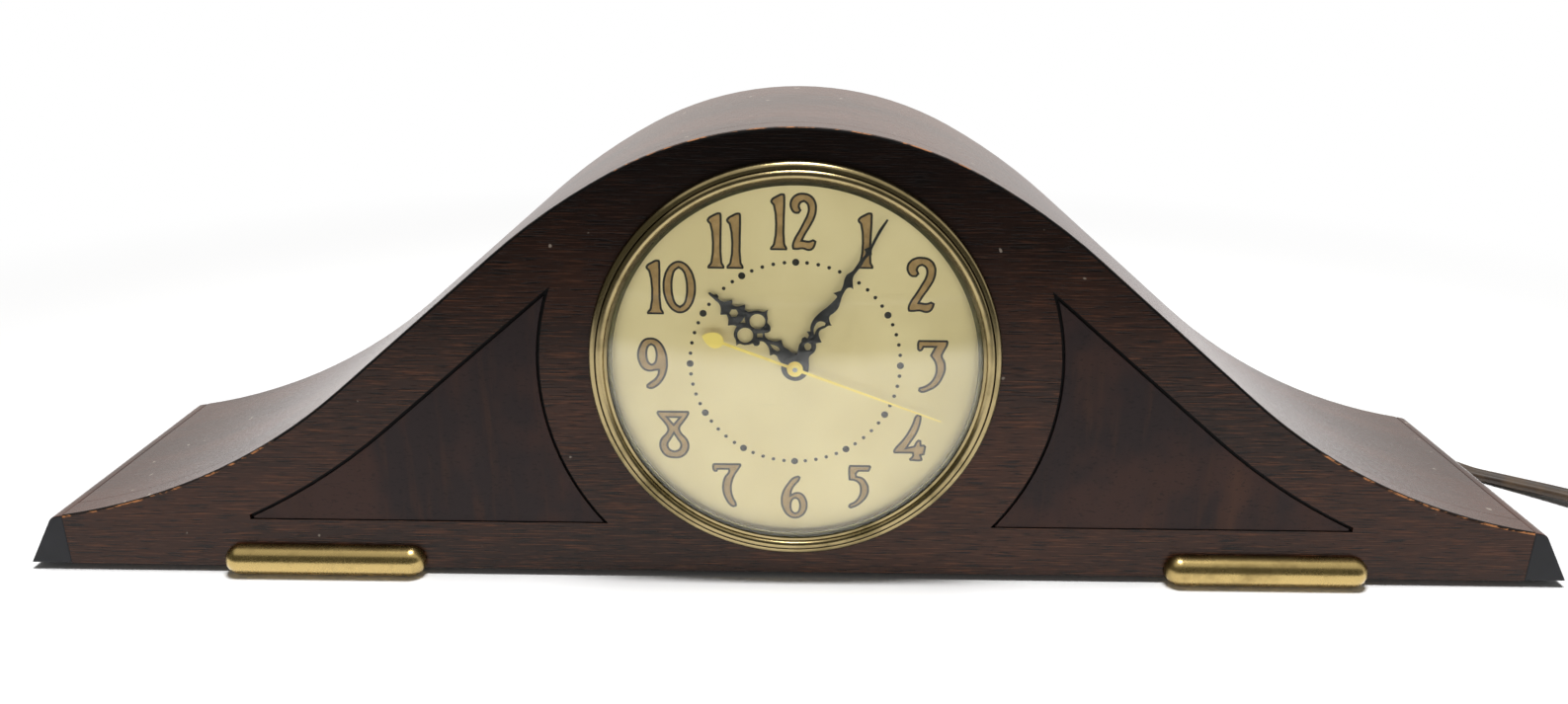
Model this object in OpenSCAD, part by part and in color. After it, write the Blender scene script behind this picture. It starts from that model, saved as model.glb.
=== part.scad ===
// Tambour mantel clock with an electric movement that chimes on four rods.
// The case stands on z = 0, with its width along x and its dial facing -y.
// Inside at_case() a point is measured from the middle of the front board's
// lower edge: x to the right, y back into the case and z up.

/* [Case] */
// Width across the two end mouldings at the bottom
case_w = 535.6; // [527:0.1:560]
// Depth from the front board's face to the back edge of the bent top
case_d = 108.5; // [108:0.5:120]
// Height of the crest above the bottom of the case
crest_h = 153.4; // [150:0.1:158]
// Thickness of the front board
front_t = 10; // [9:0.5:10]
// Thickness of the bent top sheet
sheet_t = 5; // [3:0.5:6]
// Thickness of the bottom board
bottom_t = 10; // [9:0.5:11]
// Gap between the case and the table
foot_gap = 2.5; // [2:0.5:4]

/* [Outline] */
// Radius of the crest
crest_r = 122; // [118:1:126]
// Angle that each half of the crest turns through
crest_turn = 28; // [26:0.5:30]
// Radius of the shoulder that follows the crest
shoulder_r = 224; // [215:1:230]
// Steepest slope of the side, in degrees
side_slope = 40.4; // [39:0.1:41]
// Length of the straight stretch of the side
side_run = 71.3; // [68:0.1:74]
// Radius of the hollow that sweeps out to the end
hollow_r = 210; // [205:1:216]
// Overhang of each end moulding past the front board
end_w = 14.4; // [13:0.1:16]
// Overhang of each end moulding at its upper corner
end_top_w = 4.2; // [2:0.1:6]

/* [Panels] */
// Width of the plain border outside each panel
border_w = 18.2; // [17:0.1:22]
// Radius of the panels' curved inner sides
panel_r = 85.6; // [85:0.1:90]
// Distance of that curve's middle below the dial's centre
panel_drop = 3; // [0:0.1:4]
// Distance of the pair of panels to the right of the dial's middle
panel_dx = 1.6; // [0:0.1:2]
// Distance of each panel's blunt outer end from their middle
panel_reach = 189.5; // [186:0.1:192]
// Height of the panels' lower edge
panel_z = 18; // [16:0.1:20]
// Width of the groove along the panels' curved sides
groove_w = 1.1; // [0.6:0.1:1.6]

/* [Dial] */
// Height of the dial's centre above the bottom of the case
dial_z = 75.9; // [75:0.1:77]
// Outer radius of the brass bezel
bezel_r = 67.5; // [67:0.1:69]
// Radius of the opening in the front board
aperture_r = 62.5; // [62.5:0.1:63]
// Distance of the dial's face behind the front board's face
dial_y = 2.5; // [2:0.1:3]
// Length of the hour hand
hour_len = 37; // [35:0.5:38]
// Length of the minute hand
minute_len = 57.5; // [54:0.5:58]
// Length of the second hand
second_len = 51.5; // [48:0.5:54]
// Where the hour hand points, clockwise from 12
hour_at = -47.4; // [-180:0.1:180]
// Where the minute hand points, clockwise from 12
minute_at = 29.5; // [-180:0.1:180]
// Where the second hand points, clockwise from 12
second_at = 110.3; // [-180:0.1:180]

/* [Feet] */
// Length of a brass foot
foot_len = 70; // [60:0.5:80]
// Radius of a brass foot's rounded bar
foot_r = 5.5; // [5:0.1:6]
// Distance of each brass foot's middle from the clock's middle
foot_x = 163.2; // [150:0.1:175]

/* [Movement] */
// Face of the movement's front plate, against the front board's back
plate_y = 10; // [10:0.5:10]
// Distance between the plates' inner faces
plate_gap = 28.5; // [28.5:0.5:30]
// Thickness of a plate
plate_t = 1.5; // [1.2:0.1:1.5]

/* [Cord] */
// Width of the flat twin cord
cord_w = 7.4; // [6:0.1:8]
// Thickness of the flat twin cord
cord_h = 3.7; // [3:0.1:3.7]

/* [Hidden] */
$fn = 64;

// Wood colours and metal colours
wood = "#3a2019";
panel_wood = "#2b1d1a";
ebony = "#17181b";
board = "#6b4a33";
brass = "#b0914f";
steel = "#8b8d90";
black = "#15171a";
cream = "#d8d0a8";
iron = "#3b3d40";
rubber = "#3a2a20";

// Places that several pieces share
glass_proud = 8.5;
front_y = -(case_d - glass_proud) / 2;
sheet_half = case_w / 2 - end_w;
back_y = 101.5;
back_t = 4;
panel_back = back_y + back_t;
gap = 0.3;
running = 0.06;

// Case outline: crest, shoulder, straight side and hollow, each tangent to the next
crest_c = [0, crest_h - crest_r];
shoulder_c = crest_c + (crest_r - shoulder_r) * [sin(crest_turn), cos(crest_turn)];
side_top = shoulder_c + shoulder_r * [sin(side_slope), cos(side_slope)];
side_end = side_top + side_run * [cos(side_slope), -sin(side_slope)];
hollow_c = side_end + hollow_r * [sin(side_slope), cos(side_slope)];

function arc(c, r, a, b, n) = [for (i = [0:n]) c + r * [cos(a + (b - a) * i / n), sin(a + (b - a) * i / n)]];
function flip(points) = [for (i = [len(points) - 1:-1:0]) points[i]];
function mirrored(points) = [for (p = points) [-p.x, p.y]];
function end_slope(t, x_end) = asin((hollow_c.x - x_end) / (hollow_r + t));
// Right half of the outline, set in by t, from the crest out to x_end
function half_outline(t, x_end) = concat(
    arc(crest_c, crest_r - t, 90, 90 - crest_turn, 10),
    arc(shoulder_c, shoulder_r - t, 88 - crest_turn, 90 - side_slope, 5),
    arc(hollow_c, hollow_r + t, 270 - side_slope, 270 - end_slope(t, x_end), 15));
function outline(t, x_end, z_low) = concat(
    mirrored(flip(half_outline(t, x_end))), half_outline(t, x_end),
    [[x_end, z_low], [-x_end, z_low]]);

// Moves a piece from the front board's frame to the clock's own frame
module at_case() translate([0, front_y, foot_gap]) children();
// Moves a piece to the dial's centre
module at_dial() at_case() translate([0, 0, dial_z]) children();
// Extrudes a drawing of x and z between two depths
module slab(y0, y1) translate([0, y1, 0]) rotate([90, 0, 0]) linear_extrude(y1 - y0) children();
// Round bar along y between two depths
module bar(r, y0, y1, at = [0, 0]) slab(y0, y1) translate(at) circle(r);
// Turns a profile of radius and depth about the dial's axis
module turned() rotate([-90, 0, 0]) rotate_extrude($fn = 160) children();
module pill(length, width) {
    square([length - width, width], center = true);
    for (s = [-1, 1]) translate([s * (length - width) / 2, 0]) circle(width / 2);
}
module round_rect(x0, x1, z0, z1, r) {
    translate([x0 + r, z0]) square([x1 - x0 - 2 * r, z1 - z0]);
    translate([x0, z0 + r]) square([x1 - x0, z1 - z0 - 2 * r]);
    for (x = [x0 + r, x1 - r], z = [z0 + r, z1 - r]) translate([x, z]) circle(r);
}

// Case
screw_hole = 1.5;
ear = 47;
ears = [for (sx = [-1, 1], sz = [-1, 1]) [sx * ear, sz * ear]];

// Drawing of one panel, set in by t along its curved sides and by t_low below
module panel_shape(t, t_low) intersection() {
    difference() {
        polygon(outline(border_w + t, sheet_half, 0));
        translate([0, dial_z - panel_drop]) circle(panel_r + t, $fn = 160);
    }
    translate([0, panel_z + t_low]) square([panel_reach - t, crest_h]);
}
recess_d = 1.4;
module case_front() color(wood) at_case() difference() {
    slab(0, front_t) polygon(outline(0, sheet_half, 0));
    bar(aperture_r, -1, front_t + 1, [0, dial_z], $fn = 160);
    for (s = [0, 1]) translate([panel_dx, 0, 0]) mirror([s, 0, 0]) slab(-1, recess_d) panel_shape(0, 0);
    for (e = ears) bar(screw_hole, 4, front_t + 1, [e.x, dial_z + e.y]);
}
inlay_t = 1;
module inlay() color(panel_wood) slab(recess_d - inlay_t, recess_d) panel_shape(groove_w, 0.15);
module inlay_right() at_case() translate([panel_dx, 0, 0]) inlay();
module inlay_left() at_case() translate([panel_dx, 0, 0]) mirror([1, 0, 0]) inlay();
module case_top() color(wood) at_case() slab(front_t, case_d) polygon(concat(
    mirrored(flip(half_outline(0, sheet_half))), half_outline(0, sheet_half),
    flip(half_outline(sheet_t, sheet_half)), mirrored(half_outline(sheet_t, sheet_half))));

end_slope_out = end_slope(0, sheet_half);
end_top_z = hollow_c.y - hollow_r * cos(end_slope_out);
end_corner = [sheet_half + end_top_w, end_top_z - end_top_w * tan(end_slope_out)];
end_foot = [case_w / 2, 0];
end_round = 2;
// The rounded upper corner is a quadratic curve between the two faces
function blend_curve(a, b, c, n) = [for (i = [0:n]) let (t = i / n)
    (1 - t) * (1 - t) * a + 2 * t * (1 - t) * b + t * t * c];
module end_right() color(ebony) at_case() slab(0, case_d) polygon(concat(
    [[sheet_half, 0], end_foot],
    flip(blend_curve(end_corner + end_round * [-cos(end_slope_out), sin(end_slope_out)], end_corner,
        end_corner + end_round * (end_foot - end_corner) / norm(end_foot - end_corner), 6)),
    [[sheet_half, end_top_z]]));
module end_left() mirror([1, 0, 0]) end_right();

panel_screw_x = [-220, -110, 110, 220];
foot_screw_dx = 25;
foot_screw_y = 13;
block_screws = [[27, 60], [27, 76]];
module bottom_board() color(board) at_case() difference() {
    translate([-sheet_half, front_t, 0]) cube([2 * sheet_half, back_y - front_t, bottom_t]);
    for (x = panel_screw_x) bar(screw_hole, 88, back_y + 1, [x, bottom_t / 2]);
    for (s = [-1, 1], dx = [-1, 1]) translate([s * foot_x + dx * foot_screw_dx, foot_screw_y, -1])
        cylinder(r = screw_hole, h = 9);
    for (p = block_screws) translate([p.x, p.y, -1]) {
        cylinder(r = 3.6, h = 3);
        cylinder(r = 1.9, h = bottom_t + 2);
    }
}
module glue_blocks() color(board) at_case() for (s = [-1, 1], x = [70, 130, 190])
    translate([s * x - 10, front_t, bottom_t]) rotate([90, 0, 90]) linear_extrude(20)
    polygon([[0, 0], [14, 0], [0, 14]]);

// Back panel, its door and the door's hinges and latch
door = [-62, 62, 24, 112];
door_gap = 1;
lead_at = [170, 18.5];
latch_at = [69, 68];
latch_hole = 1.3;
module back_panel() color(board) at_case() difference() {
    slab(back_y, panel_back) polygon(outline(sheet_t + gap, sheet_half - gap, 0));
    slab(back_y - 1, panel_back + 1) round_rect(door[0], door[1], door[2], door[3], 8);
    bar(6.2, back_y - 1, panel_back + 1, lead_at);
    bar(latch_hole, back_y - 1, panel_back + 1, latch_at);
    for (x = panel_screw_x) bar(1.9, back_y - 1, panel_back + 1, [x, bottom_t / 2]);
}
module back_door() color(board) at_case() {
    difference() {
        slab(panel_back - 3, panel_back)
            round_rect(door[0] + door_gap, door[1] - door_gap, door[2] + door_gap, door[3] - door_gap, 7);
        for (i = [-3:3]) slab(panel_back - 4, panel_back + 1) translate([12 * i, 68]) rotate(90) pill(44, 3);
    }
    bar(4.5, panel_back - 1, case_d - 0.2, [50, 68]);
}
hinge_axis = [door[0], panel_back + 1.65];
knuckle_r = 1.35;
pin_r = 0.6;
hinge_h = 16;
hinge_zs = [36, 84];
leaf_t = 0.8;
module knuckle(z0, z1) translate([hinge_axis.x, hinge_axis.y, z0]) cylinder(r = knuckle_r, h = z1 - z0);
module hinge_bore(z) translate([hinge_axis.x, hinge_axis.y, z - 1]) cylinder(r = pin_r + 0.05, h = hinge_h + 2);
module hinge_leaf_fixed() color(brass) at_case() for (z = hinge_zs) difference() {
    union() {
        translate([door[0] - 13, panel_back, z]) cube([11.3, leaf_t, hinge_h]);
        for (zz = [z, z + hinge_h - 5]) {
            translate([door[0] - 3, panel_back, zz]) cube([3, leaf_t, 5]);
            knuckle(zz, zz + 5);
        }
    }
    hinge_bore(z);
}
module hinge_leaf_door() color(brass) at_case() for (z = hinge_zs) difference() {
    union() {
        translate([door[0] + 1.7, panel_back, z]) cube([11.3, leaf_t, hinge_h]);
        translate([door[0], panel_back, z + 5.2]) cube([3, leaf_t, hinge_h - 10.4]);
        knuckle(z + 5.2, z + hinge_h - 5.2);
    }
    hinge_bore(z);
}
module hinge_pins() color(steel) at_case() for (z = hinge_zs)
    translate([hinge_axis.x, hinge_axis.y, z]) cylinder(r = pin_r, h = hinge_h);
module door_latch() color(brass) at_case() slab(panel_back + 0.2, panel_back + 1.8) translate(latch_at)
    difference() {
        rotate(90) pill(22, 8);
        circle(latch_hole);
    }
module latch_screw() color(brass) at_case() {
    bar(latch_hole - 0.05, back_y + 0.3, panel_back + 1.9, latch_at);
    bar(3, panel_back + 1.9, panel_back + 2.8, latch_at);
}

// Brass feet at the front, plain pads at the back
foot_y = -0.5;
module foot(side) color(brass) at_case() difference() {
    union() {
        translate([side * foot_x - foot_len / 2 + foot_r, foot_y, foot_r - foot_gap]) {
            rotate([0, 90, 0]) cylinder(r = foot_r, h = foot_len - 2 * foot_r);
            sphere(foot_r);
            translate([foot_len - 2 * foot_r, 0, 0]) sphere(foot_r);
        }
        translate([side * foot_x - 30, 0, -1.4]) cube([60, 18, 1.4]);
    }
    translate([side * foot_x - foot_len, 0, 0]) cube([2 * foot_len, 20, 20]);
    for (dx = [-1, 1]) translate([side * foot_x + dx * foot_screw_dx, foot_screw_y, -2]) cylinder(r = 1.9, h = 3);
}
module foot_left() foot(-1);
module foot_right() foot(1);
module rear_feet() color(black) at_case() for (s = [-1, 1])
    translate([s * 200, 88, -foot_gap]) cylinder(r = 9, h = foot_gap);

// Wood screws: a head of 3.2 mm radius on a shank along y or up along z
module wood_screw_y(head_y, tip_y, at) {
    dir = sign(head_y - tip_y);
    bar(3.2, min(head_y, head_y + dir * 1.5), max(head_y, head_y + dir * 1.5), at);
    bar(1.4, min(head_y, tip_y), max(head_y, tip_y), at);
}
module wood_screws() color(steel) at_case() {
    for (e = ears) wood_screw_y(plate_y + plate_t, 4.5, [e.x, dial_z + e.y]);
    for (x = panel_screw_x) wood_screw_y(panel_back, 89, [x, bottom_t / 2]);
    for (s = [-1, 1], dx = [-1, 1]) translate([s * foot_x + dx * foot_screw_dx, foot_screw_y, 0]) {
        translate([0, 0, -2.3]) cylinder(r = 3.2, h = 0.9);
        translate([0, 0, -1.4]) cylinder(r = 1.4, h = 8.4);
    }
    for (p = block_screws) translate([p.x, p.y, 0.4]) {
        cylinder(r = 3.2, h = 1.6);
        cylinder(r = 1.4, h = 19);
    }
}

// Bezel, glass and dial
sleeve_in = 61.9;
sleeve_out = 62.3;
sleeve_end = front_t - 0.2;
sight_r = 61.2;
lip_y = -2.72;
tab_turn = 10;
bezel_profile = concat(
    [[sleeve_in, sleeve_end], [sleeve_out, sleeve_end], [sleeve_out, 0], [bezel_r, 0]],
    arc([bezel_r - 2.3, -1.2], 2.3, 0, -88, 8),
    [[bezel_r - 2.38, -2.9]],
    arc([bezel_r - 3.9, -3.1], 1.45, 0, -180, 10),
    [[sight_r, -3.1], [sight_r, lip_y], [sleeve_in, lip_y]]);
module bezel() color(brass) at_dial() {
    turned() polygon(bezel_profile);
    for (a = [-30, 90, 210]) rotate([0, -a, 0]) rotate([-90, 0, 0]) rotate([0, 0, -tab_turn / 2])
        rotate_extrude(angle = tab_turn) {
            translate([sleeve_in + 0.1, sleeve_end - 1]) square([sleeve_out - sleeve_in - 0.2, 1.8]);
            translate([sleeve_in + 0.1, front_t + 0.2]) square([6, 0.6]);
        }
}
glass_r = 61.7;
glass_t = 1.6;
glass_rise = 5.9;
glass_ball = (glass_r * glass_r + glass_rise * glass_rise) / (2 * glass_rise);
module bezel_glass() color([0.8, 0.85, 0.8, 0.35]) at_dial() intersection() {
    translate([0, glass_ball - glass_proud, 0]) difference() {
        sphere(glass_ball, $fn = 160);
        sphere(glass_ball - glass_t, $fn = 160);
    }
    bar(glass_r, -glass_proud - 1, 0, $fn = 160);
}
ring_r = 59.7;
ring_y = glass_rise - glass_proud + glass_t + 0.05;
module glass_ring() color(brass) at_dial() turned()
    translate([ring_r, ring_y]) square([sleeve_in - ring_r - 0.05, 0.8]);
dial_feet = [[-30, 30], [30, 30], [0, -38]];
module dial_plate() color(cream) at_dial() {
    difference() {
        bar(sleeve_in - 0.3, dial_y, dial_y + 0.8, $fn = 160);
        bar(3.6, dial_y - 1, dial_y + 2);
    }
    for (p = dial_feet) {
        bar(1.8, dial_y + 0.8, plate_y, p);
        bar(1.2, plate_y, plate_y + 3, p);
    }
}

// Hands, each drawn pointing up and turned to the time
hand_t = 0.5;
hour_y = 0.6;
minute_y = -0.9;
second_y = -2.3;
pipe_r = 2.8;
tube_r = 1.7;
arbor_r = 0.8;
// Half outline of the hour hand: height above the centre and half width
hour_edge = [[4.2, 2.4], [6.2, 2.1], [8.2, 3.1], [8.9, 1.8], [10.6, 1.5], [12, 0.8], [13.6, 0.9],
    [15.2, 1.3], [21.4, 1.5], [23, 2.4], [24.6, 2.3], [25.2, 3.7], [26.3, 2.6], [28.2, 1.5],
    [29.4, 2.5], [30.2, 1.6], [32.2, 0.8], [33.8, 0.8], [34.3, 1.1], [34.9, 0.6]];
module hand_blade(edge, tip) polygon(concat(
    [for (p = edge) [p.y, p.x]], [[0.25, tip], [-0.25, tip]], [for (p = flip(edge)) [-p.y, p.x]]));
module hour_hand() color(black) at_dial() slab(hour_y, hour_y + hand_t) rotate(-hour_at) difference() {
    union() {
        circle(4.7);
        hand_blade(hour_edge, hour_len);
        for (s = [-1, 1]) {
            translate([s * 3.05, 18.8]) circle(3.6);
            translate([s * 2.6, 14.4]) circle(1.3);
        }
    }
    circle(pipe_r + 0.02);
    for (s = [-1, 1]) translate([s * 3.05, 18.8]) circle(2.1);
    translate([0, 9]) circle(1);
    translate([0, 22.9]) circle(0.7);
    translate([0, 26.3]) circle(1.4, $fn = 5);
}
// The minute hand's blade sways to the left and right on its way up
minute_left = [[3.6, 2.2], [6.6, 2.2], [8.6, 3.3], [10.6, 2.4], [12.5, 1.1], [15.5, 2.3], [18.6, 2.1],
    [21, 1.1], [24, 0.6], [26.6, 0.9], [27.4, 2.1], [28.4, 1], [31, 0.9], [32.4, 1.8], [34, 1],
    [37, 0.6], [42.8, 1], [44.4, 1.1], [46, 0.5]];
minute_right = [[3.6, 2.2], [6.6, 1.4], [9.4, 1.3], [11.8, 2.5], [13, 1.2], [14.6, 1.9], [16.4, 1.3],
    [18.2, 2.7], [19.6, 1.4], [22.5, 1.5], [26, 1.3], [29.5, 0.8], [31.4, 1], [32.6, 2.3], [33.8, 1],
    [37, 0.7], [42.4, 0.9], [44.2, 1.1], [46, 0.5]];
module minute_hand() color(black) at_dial() slab(minute_y, minute_y + hand_t) rotate(-minute_at) difference() {
    union() {
        circle(4.3);
        polygon(concat([for (p = minute_right) [p.y, p.x]], [[0.2, minute_len], [-0.2, minute_len]],
            [for (p = flip(minute_left)) [-p.y, p.x]]));
    }
    circle(tube_r + 0.02);
    translate([-0.9, 8.9]) circle(1.1);
    translate([-0.3, 15.4]) rotate(-8) pill(1.5, 1.5);
    translate([-0.1, 17.3]) circle(0.8);
    translate([0.1, 32.6]) circle(0.5);
}
tail_len = 32;
module second_hand() color("#e3b53f") at_dial() {
    slab(second_y, second_y + 0.4) rotate(-second_at) difference() {
        union() {
            circle(2.6);
            polygon([[-0.5, 0], [0.5, 0], [0.2, second_len], [-0.2, second_len]]);
            translate([-0.45, -25]) square([0.9, 25]);
            polygon(concat(
                blend_curve([0, -tail_len], [2.2, -30.5], [2.7, -27.6], 4),
                blend_curve([2.7, -27.6], [2.4, -25], [0, -24.6], 4),
                blend_curve([0, -24.6], [-2.4, -25], [-2.7, -27.6], 4),
                blend_curve([-2.7, -27.6], [-2.2, -30.5], [0, -tail_len], 4)));
        }
        circle(arbor_r + 0.02);
    }
    difference() {
        bar(1.9, second_y - 0.7, second_y);
        bar(arbor_r + 0.02, second_y - 1, second_y + 1);
    }
}

// Wheels of the movement
plate_w = 88;
plate_h = 92;
front_in = plate_y + plate_t;
back_in = front_in + plate_gap;
back_out = back_in + plate_t;
// Outline of a toothed wheel: two points at the root and two at the tip of each tooth
function teeth(n, module_mm, turn) = [for (i = [0:n - 1], k = [0:3]) let (
    a = turn + (i + [-0.27, -0.11, 0.11, 0.27][k]) * 360 / n,
    r = module_mm * (n / 2 + [-1.3, 0.85, 0.85, -1.3][k])) r * [cos(a), sin(a)]];
// Turn that sets a wheel in mesh with a driver of n_a teeth turned by turn_a,
// when the line from the driver to the wheel points along dir
function mesh_turn(n_a, turn_a, n_b, dir) = dir + 180 + (dir - turn_a) * n_a / n_b - 180 / n_b;
module wheel(n, module_mm, turn, y0, y1, at = [0, 0]) slab(y0, y1) translate(at)
    polygon(teeth(n, module_mm, turn));
// Cuts four openings between a wheel's spokes
module spokes(r_in, r_out, y0, y1, at) slab(y0, y1) translate(at) difference() {
    circle(r_out);
    circle(r_in);
    for (a = [0, 90]) rotate(a) square([2 * r_out, 2.4], center = true);
}

// Motion work: minute arbor, minute wheel, hour wheel and setting arbor
motion_c = 12.5;
motion_a = motion_c * 2 / (12 + 36);
motion_b = motion_c * 2 / (10 + 40);
minute_at_c = [0, motion_c];
set_dir = 30;
set_c = minute_at_c + motion_c * [cos(set_dir), sin(set_dir)];
module minute_arbor() color(brass) at_dial() difference() {
    union() {
        bar(tube_r, minute_y - 0.4, 20.6);
        wheel(12, motion_a, 0, 7, 9);
        bar(5, 19.5, 19.9);
        bar(3, 19.9, 20.6);
    }
    bar(arbor_r + running, -3, 22);
}
module hour_wheel() color(brass) at_dial() difference() {
    union() {
        bar(pipe_r, hour_y, 6.2);
        wheel(40, motion_b, 0, 5, 6.2);
    }
    bar(tube_r + running, 0, 7);
}
stud_r = 1;
module minute_wheel() color(brass) at_dial() difference() {
    union() {
        wheel(36, motion_a, mesh_turn(12, 0, 36, 90), 7.4, 8.6, minute_at_c);
        wheel(10, motion_b, mesh_turn(40, 0, 10, 90), 4.8, 7.4, minute_at_c);
    }
    bar(stud_r + running, 4, 9, minute_at_c);
}
set_r = 1.2;
module set_arbor() color(steel) at_dial() {
    wheel(12, motion_a, mesh_turn(36, mesh_turn(12, 0, 36, 90), 12, set_dir), 7.2, 8.8, set_c);
    bar(set_r, 6.6, 92, set_c);
}
module set_knob() color(black) at_dial() slab(84, 94) translate(set_c) difference() {
    union() {
        circle(7.6);
        for (i = [0:11]) rotate(30 * i) translate([7.4, 0]) circle(0.8);
    }
    circle(set_r + 0.02);
}

// Going train: motor pinion, second arbor, intermediate wheel and centre wheel
going_c = 18;
going_a = going_c * 2 / (8 + 60);
going_b = going_c * 2 / (8 + 64);
going_dir = 225;
going_at = going_c * [cos(going_dir), sin(going_dir)];
motor_module = 0.6;
pinion_at = [-motor_module * 24, 0];
pivot_r = 0.9;
module second_arbor() color(steel) at_dial() {
    bar(arbor_r, second_y - 0.5, back_out + 0.5);
    wheel(8, going_a, 0, 25, 28.2);
    difference() {
        wheel(36, motor_module, 0, 31, 32.2);
        spokes(3, 8.6, 30, 33, [0, 0]);
    }
}
module intermediate_wheel() color(brass) at_dial() {
    bar(pivot_r, plate_y, back_out + 0.3, going_at);
    wheel(8, going_b, mesh_turn(64, 0, 8, going_dir), 17, 20.2, going_at);
    difference() {
        wheel(60, going_a, mesh_turn(8, 0, 60, going_dir), 26, 27.2, going_at);
        spokes(3.4, 13, 25, 28, going_at);
    }
}
module centre_wheel() color(brass) at_dial() difference() {
    union() {
        wheel(64, going_b, 0, 18, 19.2);
        bar(4, 16.6, 18);
    }
    spokes(5.4, 13, 17, 20, [0, 0]);
    bar(tube_r + running, 16, 20);
}
module motor_pinion() color(steel) at_dial() {
    wheel(12, motor_module, mesh_turn(36, 0, 12, 180), 30.4, 32.8, pinion_at);
    bar(arbor_r, 30, 50, pinion_at);
}

// Plates, pillars and machine screws
pillar_at = [for (sx = [-1, 1], sz = [-1, 1]) [sx * 34, sz * 36]];
chime_c = [-12, -25];
chime_pinion_c = chime_c + 15 * [cos(-30), sin(-30)];
hammer_c = [10, -24];
hammer_pin_r = 1.2;
module front_plate() color(steel) at_dial() {
    slab(plate_y, front_in) difference() {
        union() {
            square([plate_w, plate_h], center = true);
            for (e = ears) translate(e) {
                circle(5);
                rotate(atan2(e.y, e.x)) translate([-12, -4.5]) square([12, 9]);
            }
        }
        for (e = ears) translate(e) circle(1.9);
        circle(tube_r + running);
        translate(set_c) circle(set_r + running);
        for (p = [going_at, chime_pinion_c]) translate(p) circle(pivot_r + running);
        for (p = dial_feet) translate(p) circle(1.3);
        for (p = pillar_at) translate(p) circle(1.6);
    }
    bar(stud_r, 4.4, plate_y, minute_at_c);
}
module back_plate() color(steel) at_dial() slab(back_in, back_out) difference() {
    square([plate_w, plate_h], center = true);
    circle(arbor_r + running);
    translate(set_c) circle(set_r + running);
    for (p = [going_at, chime_pinion_c]) translate(p) circle(pivot_r + running);
    translate(chime_c) circle(1 + running);
    translate(hammer_c) circle(hammer_pin_r + 0.02);
    translate(pinion_at) circle(2.2);
    for (p = pillar_at) translate(p) circle(1.6);
}
thread_r = 1.4;
module pillars() color(steel) at_dial() for (p = pillar_at) difference() {
    bar(3, front_in, back_in, p);
    bar(thread_r, front_in - 1, front_in + 8, p);
    bar(thread_r, back_in - 8, back_in + 1, p);
}
post_at = [[-40.5, 41.5], [-11.5, 41.5], [-40.5, -6], [-11.5, -6]];
core_y = 54;
core_t = 12;
module machine_screw(head_y, tip_y, at) {
    dir = sign(head_y - tip_y);
    bar(2.8, min(head_y, head_y + dir * 1.5), max(head_y, head_y + dir * 1.5), at);
    bar(thread_r - 0.1, min(head_y, tip_y), max(head_y, tip_y), at);
}
module machine_screws() color(steel) at_dial() {
    for (p = pillar_at) {
        machine_screw(plate_y, front_in + 7, p);
        machine_screw(back_out, back_in - 7, p);
    }
    for (p = post_at) machine_screw(core_y + core_t, core_y - 8, p);
}

// Synchronous motor behind the back plate
rotor_c = [-26, 8];
rotor_r = 12;
gear_case_r = 17;
module motor_gear_case() color("#9a9a92") at_dial() difference() {
    bar(gear_case_r, back_out + 2.5, core_y, rotor_c);
    bar(arbor_r + running, back_out, 51, pinion_at);
    bar(arbor_r + running, 48, core_y + 1, rotor_c);
}
module stator_core() color(iron) at_dial() slab(core_y, core_y + core_t) difference() {
    translate([-44, -10]) square([36, 56]);
    translate(rotor_c) circle(rotor_r + 0.6);
    translate([-36, 25.2]) square([20, 10.8]);
    for (p = post_at) translate(p) circle(1.6);
}
coil_len = 18;
module motor_coil() color("#7a3b22") at_dial() difference() {
    translate([rotor_c.x - coil_len / 2, core_y - 8, 28]) cube([coil_len, core_t + 16, 26]);
    translate([rotor_c.x - coil_len, core_y, 36]) cube([2 * coil_len, core_t, 10]);
}
module motor_posts() color(brass) at_dial() for (p = post_at) difference() {
    bar(2.5, back_out, core_y, p);
    bar(thread_r, core_y - 9, core_y + 1, p);
}
module rotor() color("#b8b9bb") at_dial() {
    bar(rotor_r, core_y + 0.6, core_y + core_t - 0.6, rotor_c);
    bar(arbor_r, 49, core_y + core_t + 2, rotor_c);
}

// Chime work: pin drum, hammers, bracket, rods and their block
drum_r = 9;
drum_pin_r = 10.6;
tracks = [56, 64, 72, 80];
bracket_y = 88;
module chime_drum() color(brass) at_dial() {
    bar(1, back_in, bracket_y + 1.5, chime_c);
    bar(drum_r, 52, 84, chime_c);
    wheel(48, 0.5, 0, 45, 46.5, chime_c);
    for (t = [0:3], i = [0:5]) translate([chime_c.x, tracks[t], chime_c.y])
        rotate([0, 60 * i + 15 * t, 0]) cylinder(r = 0.5, h = drum_pin_r, $fn = 16);
}
module chime_pinion() color(steel) at_dial() {
    bar(pivot_r, plate_y, 48, chime_pinion_c);
    wheel(12, 0.5, mesh_turn(48, 0, 12, -30), 44.6, 46.9, chime_pinion_c);
    wheel(30, 0.5, 0, 33, 34.2, chime_pinion_c);
}
arm_len = 36;
tail_reach = 11;
head_drop = 7;
module hammer(track) color(brass) at_dial() translate([hammer_c.x, tracks[track - 1], hammer_c.y]) {
    difference() {
        union() {
            bar(2.6, -3, 3);
            slab(-0.6, 0.6) {
                translate([0, -1.2]) square([arm_len, 2.4]);
                rotate(167) translate([0, -0.9]) square([tail_reach + 0.3, 1.8]);
            }
        }
        bar(hammer_pin_r + running, -4, 4);
    }
    translate([arm_len, 0, -22]) cylinder(r = 3.2, h = 22 - head_drop + 9);
    translate([arm_len, 0, -24.4]) cylinder(r = 2.4, h = 2.4);
}
module hammer_1() hammer(1);
module hammer_2() hammer(2);
module hammer_3() hammer(3);
module hammer_4() hammer(4);
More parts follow.
